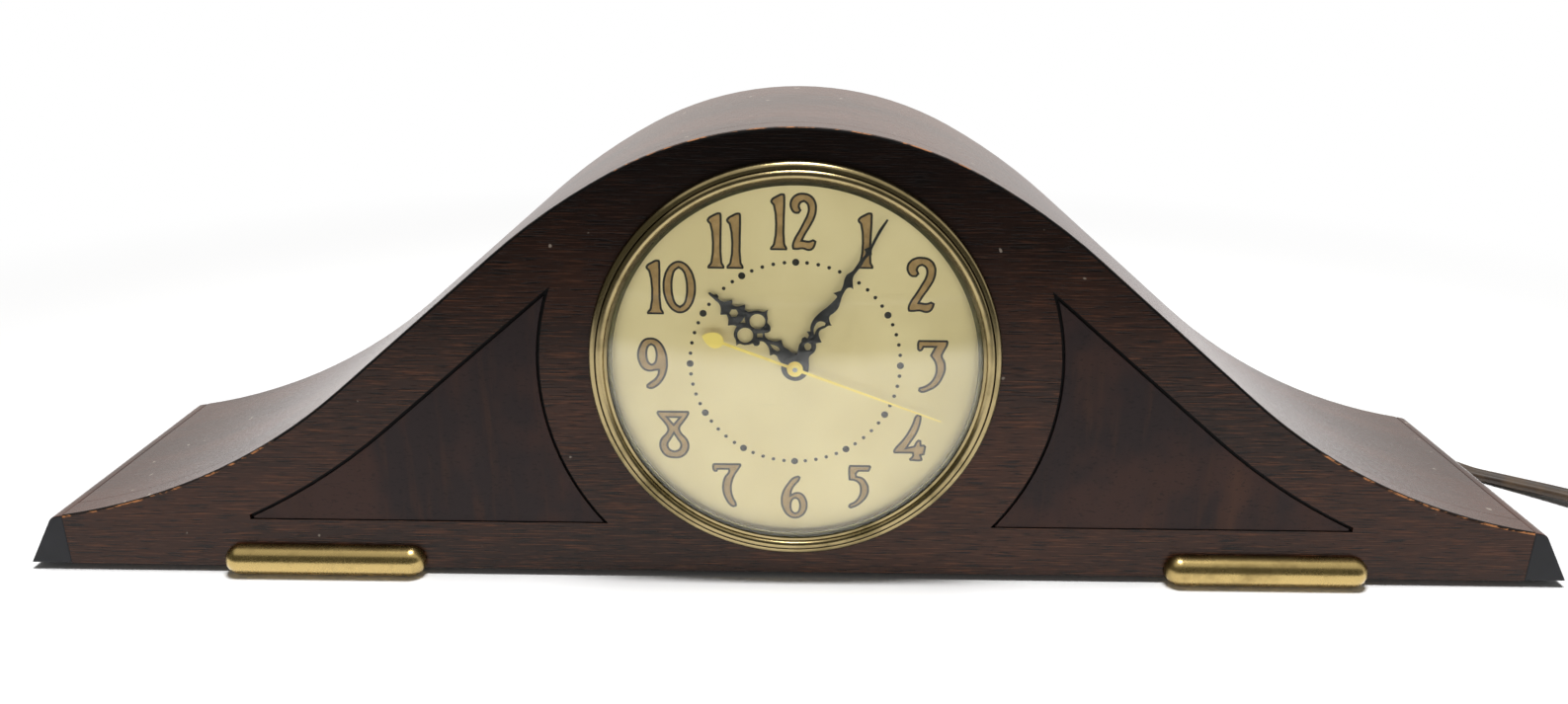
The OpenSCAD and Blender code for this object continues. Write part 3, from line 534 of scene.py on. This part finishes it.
def makeCord():
    lift = cord["height"]
    points = cord["route"] + coilPoints(cord["coil"], lift) + cord["tail"]
    line = throughPoints(points, 4)
    mesh = sweptTube("twinCord", line, twinSection(cord["width"], cord["height"]))
    tube = addPiece("twinCord", mesh, "cord", "case", ["cord_tube", "cord_coil"], 40, 1)
    sleeve = turned(reliefProfile(relief), 48, closed=False)
    reliefPiece = addPiece("strainRelief", sleeve, "cord", "case", ["strain_relief"], 40)
    reliefPiece.data.transform(Matrix.Translation(Vector(relief["at"]) * mm))
    shell = alongX(turned(plugProfile(plug), 48, closed=False), plug["at"], plug["turn"])
    plugPiece = addPiece("plugShell", shell, "plug", "case", ["plug_body"], 40)
    [p * mm for p in line]
    length = sum((b - a).length for a, b in zip(line, line[1:]))
    print("cord", round(length), "mm")


makeCord()


# Case: copies of the CAD solids with softened edges
front = {
    "grooveDepth": (0.4, 1.5), "grooveFoot": 18, "grooveInside": 60,
    "upward": 0.12, "edgeFoot": 12, "jointFacing": -0.6, "jointReach": 175, "cornerFacing": -0.15,
}


def upperRim(bm):  # edges between the front board's face and its upper edge
    bm.normal_update()
    upper = {f for f in bm.faces
             if f.normal.z > front["upward"] and f.calc_center_median().y > (caseY + 2) * mm}
    return [e for e in sharpEdges(bm)
            if all(v.co.y < (caseY + 0.01) * mm for v in e.verts) and upper.intersection(e.link_faces)]


def frontParts(normal, place):  # 0 face, 1 upper edge, 2 worn corner, 3 groove (painted shade) or dark joint line
    low, high = front["grooveDepth"]
    deep = caseY + low < place.y < caseY + high
    if deep and place.z > front["grooveFoot"] and abs(place.x) > front["grooveInside"]:
        # groove faces get the near-black finish: painted shade in the recess
        return 3 if abs(normal.z) > 0.02 or normal.y < -0.9 else 0
    if normal.z > front["upward"] and place.z > front["edgeFoot"]:
        joint = normal.y < front["jointFacing"] and abs(place.x) < front["jointReach"]
        return 3 if joint else 2 if normal.y < front["cornerFacing"] else 1
    return 0


def endParts(normal, place):  # 0 end, 1 upper edge
    return 1 if normal.z > 0.6 else 0


softened = [  # piece, CAD node, finish, body, slot, edge width, sorting of faces, smooth angle, rim width
    ("frontBoard", "case_front", ["walnut", "bentWalnut", "worn", "groove"], "case", "walnut",
     0.3, frontParts, 18, 0.85),
    ("bentTop", "case_top", "bentWalnut", "case", "walnut", 0.35),
    ("leftPanel", "inlay_left", "panel", "case", "panel", 0.2),
    ("rightPanel", "inlay_right", "panel", "case", "panel", 0.2),
    ("leftMoulding", "end_left", ["ebonised", "bentWalnut"], "case", "ebonised", 0.5, endParts),
    ("rightMoulding", "end_right", ["ebonised", "bentWalnut"], "case", "ebonised", 0.5, endParts),
    ("baseBoard", "bottom_board", "plain_wood", "case", "plain_wood", 0.3),
    ("backBoard", "back_panel", "plain_wood", "case", "plain_wood", 0.3),
    ("backDoor", "back_door", "plain_wood", "door", "plain_wood", 0.3),
    ("leftFoot", "foot_left", "brass", "case", "brass", 0.2),
    ("rightFoot", "foot_right", "brass", "case", "brass", 0.2),
    ("secondHand", "second_hand", "gilt", "second_works", "gilt", 0.06),
]
for entry in softened:
    dressed(*entry)
print("case dressed")

# Bezel and glass, spun from the same section as the CAD
bezel = {"outer": 67.5, "sleeve": (61.9, 62.3), "sleeveEnd": 9.8, "sight": 61.2, "lip": -2.72,
         "tabs": (-30, 90, 210), "tabTurn": 10, "tabReach": 6}
glass = {"radius": 61.7, "proud": 8.5, "rise": 5.9, "thickness": 1.6}


def bezelProfile(v):
    r = v["outer"]
    inner, outer = v["sleeve"]
    return ([(inner, v["sleeveEnd"]), (outer, v["sleeveEnd"]), (outer, 0), (r, 0)]
            + arc((r - 2.3, -1.2), 2.3, 0, -88, 18) + [(r - 2.38, -2.9)]
            + arc((r - 3.9, -3.1), 1.45, 0, -180, 24)
            + [(v["sight"], -3.1), (v["sight"], v["lip"]), (inner, v["lip"])])


def makeBezel(v):
    bm = turned(bezelProfile(v), 240)
    inner, outer = v["sleeve"]
    for angle in v["tabs"]:
        cuts = [(inner + 0.1, 8.8), (outer - 0.1, 8.8), (outer - 0.1, 10.2), (inner + v["tabReach"], 10.2),
                (inner + v["tabReach"], 10.8), (inner + 0.1, 10.8)]
        face = bm.faces.new([bm.verts.new((r, y, 0)) for r, y in cuts])
        bmesh.ops.rotate(bm, verts=face.verts, cent=(0, 0, 0),
                         matrix=Matrix.Rotation(math.radians(-angle - v["tabTurn"] / 2), 3, "Y"))
        bmesh.ops.spin(bm, geom=[face], axis=(0, 1, 0), cent=(0, 0, 0),
                       angle=math.radians(v["tabTurn"]), steps=4)
    bmesh.ops.recalc_face_normals(bm, faces=bm.faces)
    addPiece("brassBezel", toDial(bm), "bezelBrass", "case", ["bezel"], 26)


def makeGlass(v):
    ball = (v["radius"] ** 2 + v["rise"] ** 2) / (2 * v["rise"])
    half = math.degrees(math.asin(v["radius"] / ball))
    inside = math.degrees(math.asin(v["radius"] / (ball - v["thickness"])))
    middle = (0, ball - v["proud"])
    outer = arc(middle, ball, -90, -90 + half, 28)
    inner = arc(middle, ball - v["thickness"], -90 + inside, -90, 28)
    bm = toDial(turned(outer + inner, 128, closed=False))
    piece = addPiece("domedGlass", bm, "glass", "case", ["bezel_glass"], 40)
    piece.visible_shadow = False
    piece.visible_diffuse = False


makeBezel(bezel)
makeGlass(glass)
print("bezel and glass made")

# Dial print: each figure is drawn round its own middle, x to the right and z up
one = [(0.8, 9.05), (1.85, 8.95), (2.1, 8.2), (2.1, -7.05), (2.75, -8.45), (2.65, -9.15), (-2.65, -9.15),
       (-2.75, -8.45), (-1.8, -7.05), (-1.8, 5.15), (-2.6, 6.15), (-2.5, 7.05), (-0.5, 8.5)]
two = [(0, 9.3), (2.7, 8.55), (4.4, 6.5), (4.75, 4), (4.2, 1.5), (2.7, -1.3), (0.9, -4.05), (0, -5.7),
       (2.2, -5.9), (3.5, -5.4), (4.75, -6.1), (4.3, -7.7), (3.4, -8.9), (1.95, -9.3), (-0.2, -8.8),
       (-2.3, -9), (-3.7, -8.9), (-4, -7.7), (-3.3, -5.4), (-1.7, -2.8), (0.1, 0.4), (1.2, 2.6),
       (1.5, 4.3), (1.05, 5.7), (0.1, 6.3), (-0.8, 5.9), (-1.2, 5), (-0.6, 3.7), (-1.5, 2.6), (-3.2, 2.7),
       (-4.5, 4.1), (-4.85, 5.8), (-4.1, 7.7), (-2.3, 9)]
three = [(-4.7, 9.05), (4.7, 9.05), (5.05, 8.3), (3.65, 4.5), (3.4, 3.7), (4.3, 1.7), (4.65, -0.8),
         (3.9, -3.8), (2.05, -6.9), (-0.85, -8.7), (-3.05, -9.3), (-4.2, -8.6), (-4, -7.4), (-2.15, -6.8),
         (-0.3, -5.4), (1, -3), (1.25, -0.8), (0.75, 1.4), (-0.85, 3.7), (0.45, 6.4), (-2.8, 6.4),
         (-3.5, 5.3), (-4.3, 5.05), (-5.05, 5.7), (-5.05, 8.4)]
four = [(2.4, 8.4), (3.5, 8.05), (3.6, 7.05), (3.25, 4.4), (2.1, 1.05), (0.4, -1.85), (-0.5, -3.4),
        (1.4, -2.95), (1.95, -1.6), (2.75, -0.7), (3.8, -0.95), (4, -2.55), (4.85, -2.5), (5.55, -3.2),
        (5.35, -4.8), (5.1, -6.3), (4.1, -6.55), (4.6, -8.1), (4.2, -8.5), (0.25, -8.5), (-0.1, -7.85),
        (0.95, -6.55), (0.85, -5.85), (-5.15, -5.85), (-5.55, -5.05), (-5.05, -3.95), (-2.65, -0.9),
        (-0.5, 2.7), (0.75, 5.75), (1.45, 7.85)]
five = [(-3.5, 8.1), (3.5, 8.1), (3.85, 7.3), (3.1, 5.65), (-0.35, 5.65), (-1.05, 4.85), (-0.9, 4.1),
        (0.95, 3.55), (2.5, 1.8), (3.3, -0.7), (2.8, -3.5), (1.2, -5.7), (-0.9, -7.4), (-2.9, -8.2),
        (-3.75, -7.55), (-3.4, -6.55), (-1.5, -5.35), (-0.15, -3.2), (0.2, -1), (-0.25, 0.95), (-1.5, 2.05),
        (-3.75, 2.45), (-3.85, 7.45)]
six = [(1.4, 8.1), (2.2, 7.45), (1.7, 6.05), (0.35, 4.4), (-0.65, 2.55), (-0.85, 1.2), (0.65, 1.9),
       (2.75, 1.45), (4.2, -0.6), (4.65, -3.1), (4.05, -5.6), (2.45, -7.45), (0.2, -8.1), (-2, -7.3),
       (-3.85, -4.8), (-4.6, -1.45), (-4.1, 1.9), (-2.5, 4.95), (-0.4, 7.45)]
seven = [(-4.5, 8.15), (4.6, 8.15), (4.95, 7.4), (4.15, 6), (2.9, 4.05), (1.85, 1.3), (1.55, -1.5),
         (2.05, -4.3), (3.15, -6.8), (3.15, -7.9), (1.95, -8.3), (0.9, -7.7), (-0.7, -5.4), (-1.65, -2.6),
         (-1.75, 0.15), (-0.95, 3.2), (0.4, 5.2), (0.3, 5.7), (-3.05, 5.7), (-3.4, 4.9), (-4.35, 4.9),
         (-4.9, 5.7), (-4.9, 7.65)]
eight = [(-5.1, 8.6), (5.15, 8.6), (5.5, 7.95), (5.15, 6.85), (3.3, 4.05), (2.3, 2.4), (2.8, 0.7),
         (4.4, -1.2), (5.25, -3.7), (4.5, -6.5), (2.5, -8.3), (0.05, -8.65), (-2.5, -8.15), (-4.3, -6.2),
         (-4.95, -3.7), (-4.2, -1.2), (-2.5, 0.7), (-2.05, 2.1), (-3, 4.05), (-5.1, 6.85), (-5.5, 7.8)]
eightEyes = [[(-1.4, 6), (1.7, 6), (0.15, 4.05)],
             [(0.15, 0), (1.2, -1.8), (2.15, -3.45), (1.75, -5.1), (0.15, -5.8), (-1.4, -5.1),
              (-1.85, -3.55), (-0.9, -1.8)]]
nine = [(-0.5, 8.95), (-2.6, 8.4), (-4.3, 6), (-5.05, 2.95), (-4.6, 0.15), (-3.25, -2.05), (-1.3, -2.85),
        (1.1, -2.5), (1.6, -2.5), (1.5, -3.45), (0.25, -5.4), (-1.3, -6.5), (-2.4, -7.5), (-2.35, -8.5),
        (-1.05, -9), (1.05, -8.15), (3.15, -5.95), (4.65, -2.6), (5, 0.7), (4.5, 4.35), (2.9, 7.4),
        (1.3, 8.65)]


def oval(x, z, wide, high, steps=12):
    angles = [2 * math.pi * i / steps for i in range(steps)]
    return [(x + wide * math.cos(a), z + high * math.sin(a)) for a in angles]


def moved(points, dx, wide=1):
    return [(x * wide + dx, z) for x, z in points]


dialPrint = {
    "figures": {  # middle of each figure from the dial's centre, then its outlines and eyes
        "1": ((22, 41.7), [one], []),
        "2": ((40.1, 27.4), [two], []),
        "3": ((44.8, -0.1), [three], []),
        "4": ((38.6, -25.4), [four], []),
        "5": ((22.1, -43.8), [five], []),
        "6": ((-0.1, -47.9), [six], [oval(0.4, -3.2, 1.3, 2.6)]),
        "7": ((-22.9, -43.7), [seven], []),
        "8": ((-40.7, -25.3), [eight], eightEyes),
        "9": ((-46.8, -0.1), [nine], [oval(-0.3, 3.1, 1.35, 3.2)]),
        "10": ((-40.1, 25.9), [moved(one, -5.2), oval(2.75, 0, 5.4, 8.75, 16)], [oval(2.75, 0, 2.15, 6.2)]),
        "11": ((-22.4, 41.3), [moved(one, -3.05), moved(one, 3.05)], []),
        "12": ((-0.3, 47.5), [moved(one, -5.15), moved(two, 2.6, 0.9)], []),
    },
    "line": 0.72, "ink": 0.03, "tan": 0.06, "face": 2.5,
    "dotRing": 34.5, "hourDot": 1.15, "minuteDot": 0.6,
}


def outlineSpline(curve, points, corner=48):
    spline = curve.splines.new("BEZIER")
    spline.bezier_points.add(len(points) - 1)
    spline.use_cyclic_u = True
    spline.resolution_u = 4
    for i, (x, z) in enumerate(points):
        here = Vector((x, z))
        before = here - Vector(points[i - 1])
        after = Vector(points[(i + 1) % len(points)]) - here
        kind = "VECTOR" if math.degrees(before.angle(after)) > corner else "AUTO"
        knot = spline.bezier_points[i]
        knot.handle_left_type = knot.handle_right_type = kind
        knot.co = (x, z, 0)


def flatPiece(name, loops, depth, thick, finish, body, nodes=(), grow=0, soft=0):
    curve = bpy.data.curves.new(name, "CURVE")
    curve.dimensions = "2D"
    curve.fill_mode = "BOTH"
    curve.extrude = thick / 2 - soft
    curve.offset = grow - soft
    curve.bevel_depth = soft
    curve.bevel_resolution = 1
    for points in loops:
        outlineSpline(curve, points)
    mesh = evaluated(placed(name + "Curve", curve))
    stand = Matrix.Rotation(math.radians(90), 4, "X")
    mesh.transform(Matrix.Translation((0, caseY + depth + thick / 2, dialZ)) @ stand)
    bm = bmesh.new()
    bm.from_mesh(mesh)
    bmesh.ops.remove_doubles(bm, verts=bm.verts, dist=0.001)
    bmesh.ops.recalc_face_normals(bm, faces=bm.faces)
    return addPiece(name, bm, finish, body, nodes)


def makePrint(v):
    for word, (middle, outlines, eyes) in v["figures"].items():
        place = [[(x + middle[0], z + middle[1]) for x, z in loop] for loop in outlines + eyes]
        flatPiece("figure" + word, place, v["face"] - v["ink"], v["ink"], "ink", "case")
        flatPiece("figureFill" + word, place, v["face"] - v["tan"], v["tan"], "numeralTan", "case",
                  grow=-v["line"])
    dots = []
    for minute in range(60):
        a = math.radians(6 * minute)
        radius = v["hourDot"] if minute % 5 == 0 else v["minuteDot"]
        dots.append(oval(v["dotRing"] * math.sin(a), v["dotRing"] * math.cos(a), radius, radius, 8))
    flatPiece("minuteDots", dots, v["face"] - v["ink"], v["ink"], "ink", "case")


makePrint(dialPrint)
print("dial printed")

# Hands at the photograph's time, outlines from the centre of the dial
minuteHand = {
    "depth": -0.9, "thick": 0.5,
    "edge": [
        (30.4, 51.7), (30.6, 51.3), (27.9, 46.6), (26.1, 43.1), (25.2, 41), (25.2, 39.3), (24.4, 39.4),
        (22.8, 37.4), (21.8, 35.5), (20.2, 33.4), (19.1, 31.7), (18.9, 29.6), (19.1, 27.4), (18.1, 27.9),
        (16.9, 27.5), (16.1, 26.3), (15.3, 24.6), (14.8, 22.7), (14, 20.6), (12.7, 19.1), (11.4, 18),
        (11.3, 16.1), (12, 14.7), (10.9, 14.7), (9.8, 13.9), (8.5, 13.3), (7.9, 12.5), (7.8, 11.3),
        (8.7, 8.9), (7.5, 8.7), (6.8, 8.5), (6.9, 7.1), (6.4, 5.7), (5.4, 4.7), (4.7, 4), (4.5, 1.9),
        (4.5, 0.6), (4.2, -1.6), (2.9, -3.4), (0.9, -4.4), (-1.2, -4.3), (-3.1, -3.2), (-4.3, -1.3),
        (-4.4, 0.9), (-3.4, 2.9), (-1.6, 4.2), (0.6, 4.5), (1.1, 6.8), (1.4, 8), (2.1, 9), (2.3, 10.1),
        (3.2, 10.7), (4.1, 10.2), (4.6, 11.3), (3.9, 12.6), (5, 12.6), (5.1, 14.4), (5.9, 16.5),
        (7.2, 18.2), (8.8, 19.7), (10.8, 21.3), (12.4, 22.9), (13.8, 24.6), (13.4, 25.3), (12.5, 25.9),
        (13.9, 26.4), (15, 26.8), (15.7, 28.6), (16.4, 31.3), (17.2, 32.4), (18.9, 33.8), (20.3, 35.8),
        (21.3, 37.4), (22.9, 39.3), (23.1, 40.3), (22.6, 41.2), (23.9, 41.8), (24.5, 42.1), (25.5, 44),
        (27.6, 48.1), (30.1, 51.7)],
    "eyes": [
        [(9, 16.1), (10, 15.6), (9.7, 14.7), (8.5, 14.3), (7.4, 13.6), (6.7, 12.5), (6.3, 11.4), (6.1, 13),
         (6.6, 14.7), (7.5, 15.9)],
        [(4.1, 8.8), (5.1, 8.3), (5.3, 7.1), (4.7, 6.1), (3.7, 6.1), (3.1, 7.3), (3.3, 8.3)],
        oval(0, 0, 1.75, 1.75)],
}
hourHand = {
    "depth": 0.6, "thick": 0.5,
    "edge": [
        (-28.5, 25.1), (-27.9, 25.4), (-26.4, 24.4), (-25.5, 24.7), (-25, 23.9), (-25.2, 23.2),
        (-23.7, 22.2), (-21.9, 22.4), (-20.5, 22.9), (-20.5, 22), (-20.7, 21.2), (-19, 20.5), (-16.4, 21.2),
        (-16.3, 20.3), (-16.4, 19.4), (-15.4, 18.6), (-14.2, 18.9), (-12.3, 19.2), (-10.3, 18.8),
        (-8.8, 19.5), (-9.1, 18), (-8.9, 16.4), (-9, 14.9), (-8.4, 14.2), (-8, 13.3), (-8.1, 12.2),
        (-8.9, 11.6), (-9.9, 11.5), (-9.9, 10.5), (-9.2, 9.5), (-8.1, 8.9), (-6.2, 8.6), (-4.4, 9.1),
        (-4.1, 7.8), (-3.5, 6.6), (-2.4, 5.9), (-0.8, 4.6), (1.2, 4.4), (3.2, 3.2), (4.4, 1.3), (4.4, -0.9),
        (3.4, -2.9), (1.6, -4.2), (-0.5, -4.5), (-2.5, -3.8), (-4, -2.1), (-4.5, 0), (-4.6, 1.2),
        (-5.4, 2.2), (-6, 3.5), (-6.9, 4.1), (-8.2, 3.6), (-8.5, 5.9), (-9.4, 7.6), (-10.5, 8.5),
        (-11.6, 8.6), (-11.6, 7.6), (-12.3, 6.9), (-13.3, 7), (-13.8, 7.8), (-15, 7.4), (-16.6, 7.2),
        (-18.2, 7.6), (-19.2, 7), (-19.3, 8.6), (-20, 10.4), (-19.8, 12.2), (-19, 13.6), (-20, 14),
        (-22, 13.9), (-21.8, 16), (-22.4, 17.7), (-24.4, 17.6), (-24.5, 20.8), (-26.6, 23.1), (-28.2, 24.7)],
    "eyes": [
        oval(-12.3, 15.4, 2.6, 2.6), oval(-16.3, 10.6, 2.6, 2.6), oval(-20, 18.2, 1.5, 1.5, 6),
        [(-16.6, 16.9), (-16.2, 14.8), (-18.1, 14.8), (-17.3, 15.6)],
        [(-12.4, 11.3), (-10.6, 11.3), (-10.6, 9.9), (-12.4, 9.9)],
        [(-8.2, 7.7), (-5.3, 6.4), (-4.9, 5.4), (-5.9, 5.1), (-7.2, 6)],
        oval(0, 0, 2.85, 2.85)],
}


reading = {"nearer": 0.0009, "tilt": 0.007}


def upright(points, v):  # takes the photograph's perspective and tilt out of a hand's outline
    return [(x * (1 - v["nearer"] * z) - v["tilt"] * z, z * (1 - v["nearer"] * z)) for x, z in points]


for name, node, body, v in (("minuteHand", "minute_hand", "minute_works", minuteHand),
                            ("hourHand", "hour_hand", "hour_works", hourHand)):
    outlines = [upright(loop, reading) for loop in [v["edge"]] + v["eyes"]]
    flatPiece(name, outlines, v["depth"], v["thick"], "black", body, [node], soft=0.08)
print("hands made")

# Finishes of the CAD nodes that stay
kept = {
    "plain_wood": ["glue_blocks"],
    "brass": ["hinge_leaf_fixed", "hinge_leaf_door", "door_latch", "latch_screw", "minute_arbor",
              "hour_wheel", "minute_wheel", "intermediate_wheel", "centre_wheel", "motor_posts", "chime_drum",
              "hammer_1", "hammer_2", "hammer_3", "hammer_4"],
    "steel": ["hinge_pins", "wood_screws", "front_plate", "back_plate", "pillars", "machine_screws",
              "set_arbor", "second_arbor", "motor_pinion", "rotor", "chime_pinion", "chime_bracket",
              "silencer_lever"],
    "bronze": ["chime_rods", "plug_blades"],
    "zinc": ["motor_gear_case"],
    "iron": ["stator_core", "rod_block"],
    "coil": ["motor_coil"],
    "tarnished": ["glass_ring"],
    "dial": ["dial_plate"],
    "black": ["set_knob"],
    "felt": ["rear_feet"],
    "cord": ["inner_lead"],
}
for finish, nodes in kept.items():
    for node in nodes:
        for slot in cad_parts[node].material_slots:
            slot.link = "OBJECT"
            slot.material = finishes[finish].material
print("CAD nodes painted")

# Floor, cards and lights
studio = {
    "tableEdge": -330, "edgeFade": 50, "floorReach": 6000,
    "world": 0.12, "floorSeen": 1.02, "floorMirrored": 1.6, "floorPlain": 0.8, "dim": 0.15,
    "glow": (0.42, 0.72),
}


def makeFloor(v):
    f = Finish("paleFloor", roughness=0.9, specular_ior_level=0)
    direct = f.add("LightPath", {}, {}, "Is Camera Ray")
    mirrored = f.maths("MAXIMUM", f.add("LightPath", {}, {}, "Is Glossy Ray"),
                       f.add("LightPath", {}, {}, "Is Transmission Ray"))
    near, far = ((v["tableEdge"] + side * v["edgeFade"]) * mm for side in (-1, 1))
    onTable = f.band(f.parts()[1], near, far)
    plain, seen, bright = ([v[k]] * 3 + [1] for k in ("floorPlain", "floorSeen", "floorMirrored"))
    white = f.mix(mirrored, f.mix(direct, plain, seen), bright)
    f.set("Base Color", f.mix(f.maths("MAXIMUM", onTable, 1 - mirrored), [v["dim"]] * 3 + [1], white))
    spot = f.parts()
    away = f.maths("SQRT", spot[0] ** 2 + spot[1] ** 2)
    glow = f.band(away, *v["glow"]) * f.maths("MAXIMUM", direct, mirrored * onTable)
    lit = f.add("Emission", {}, {"Strength": 1, "Color": (1, 1, 1, 1)})
    mixed = f.add("MixShader", {}, {0: glow, 1: Amount(f, f.shader.outputs[0]), 2: lit})
    f.material.node_tree.links.new(mixed.socket, f.output.inputs[0])
    bm = bmesh.new()
    bmesh.ops.create_grid(bm, x_segments=1, y_segments=1, size=v["floorReach"])
    mesh = written("floor", bm)
    mesh.transform(Matrix.Scale(mm, 4))
    mesh.materials.append(f.material)
    floor = placed("floor", mesh)


def makeWorld(v):
    world = bpy.data.worlds.new("studio")
    world.use_nodes = True
    bpy.context.scene.world = world
    nodes = world.node_tree.nodes
    links = world.node_tree.links
    back = nodes["Background"]
    back.inputs["Color"].default_value = (1, 0.99, 0.95, 1)
    path = nodes.new("ShaderNodeLightPath")
    either = nodes.new("ShaderNodeMath")
    either.operation = "MAXIMUM"
    links.new(path.outputs["Is Glossy Ray"], either.inputs[0])
    links.new(path.outputs["Is Transmission Ray"], either.inputs[1])
    also = nodes.new("ShaderNodeMath")
    also.operation = "MAXIMUM"
    links.new(path.outputs["Is Camera Ray"], also.inputs[0])
    links.new(either.outputs[0], also.inputs[1])
    level = nodes.new("ShaderNodeMapRange")
    level.inputs["To Min"].default_value = v["world"]
    level.inputs["To Max"].default_value = 1
    links.new(also.outputs[0], level.inputs["Value"])
    links.new(level.outputs[0], back.inputs["Strength"])


def makeLight(name, place, aim, size, watts, glossy=True):
    lamp = bpy.data.lights.new(name, "AREA")
    lamp.shape = "RECTANGLE"
    lamp.size, lamp.size_y = size
    lamp.energy = watts
    holder = placed(name, lamp)
    holder.location = Vector(place)
    holder.rotation_euler = (Vector(aim) - Vector(place)).to_track_quat("-Z", "Y").to_euler()
    holder.visible_camera = False
    holder.visible_glossy = glossy
    holder.visible_transmission = glossy


def makeCard(name, corners, level):
    f = Finish(name, roughness=1, specular_ior_level=0, emission_strength=1)
    f.set("Base Color", "#000000")
    f.set("Emission Color", [level, level, level * 0.85, 1])
    bm = bmesh.new()
    bm.faces.new([bm.verts.new(c) for c in corners])
    mesh = written(name, bm)
    mesh.materials.append(f.material)
    card = placed(name, mesh)
    card.visible_camera = False
    card.visible_diffuse = False
    card.visible_shadow = False


makeFloor(studio)
makeWorld(studio)
makeLight("overhead", (0.05, -0.1, 1.6), (0, -0.02, 0.05), (0.5, 0.4), 28)
makeLight("frontLow", (0, -0.8, 0.03), (0, 0, 0.075), (1.4, 0.06), 2.3, glossy=False)
makeCard("darkRoom", [(-3, -0.95, -0.1), (3, -0.95, -0.1), (3, -0.95, 1.1), (-3, -0.95, 1.1)], studio["dim"])
makeCard("darkSide", [(-1.3, -0.95, 0), (-1.3, 0.4, 0), (-1.3, 0.4, 1.2), (-1.3, -0.95, 1.2)], studio["dim"])
print("studio lit")
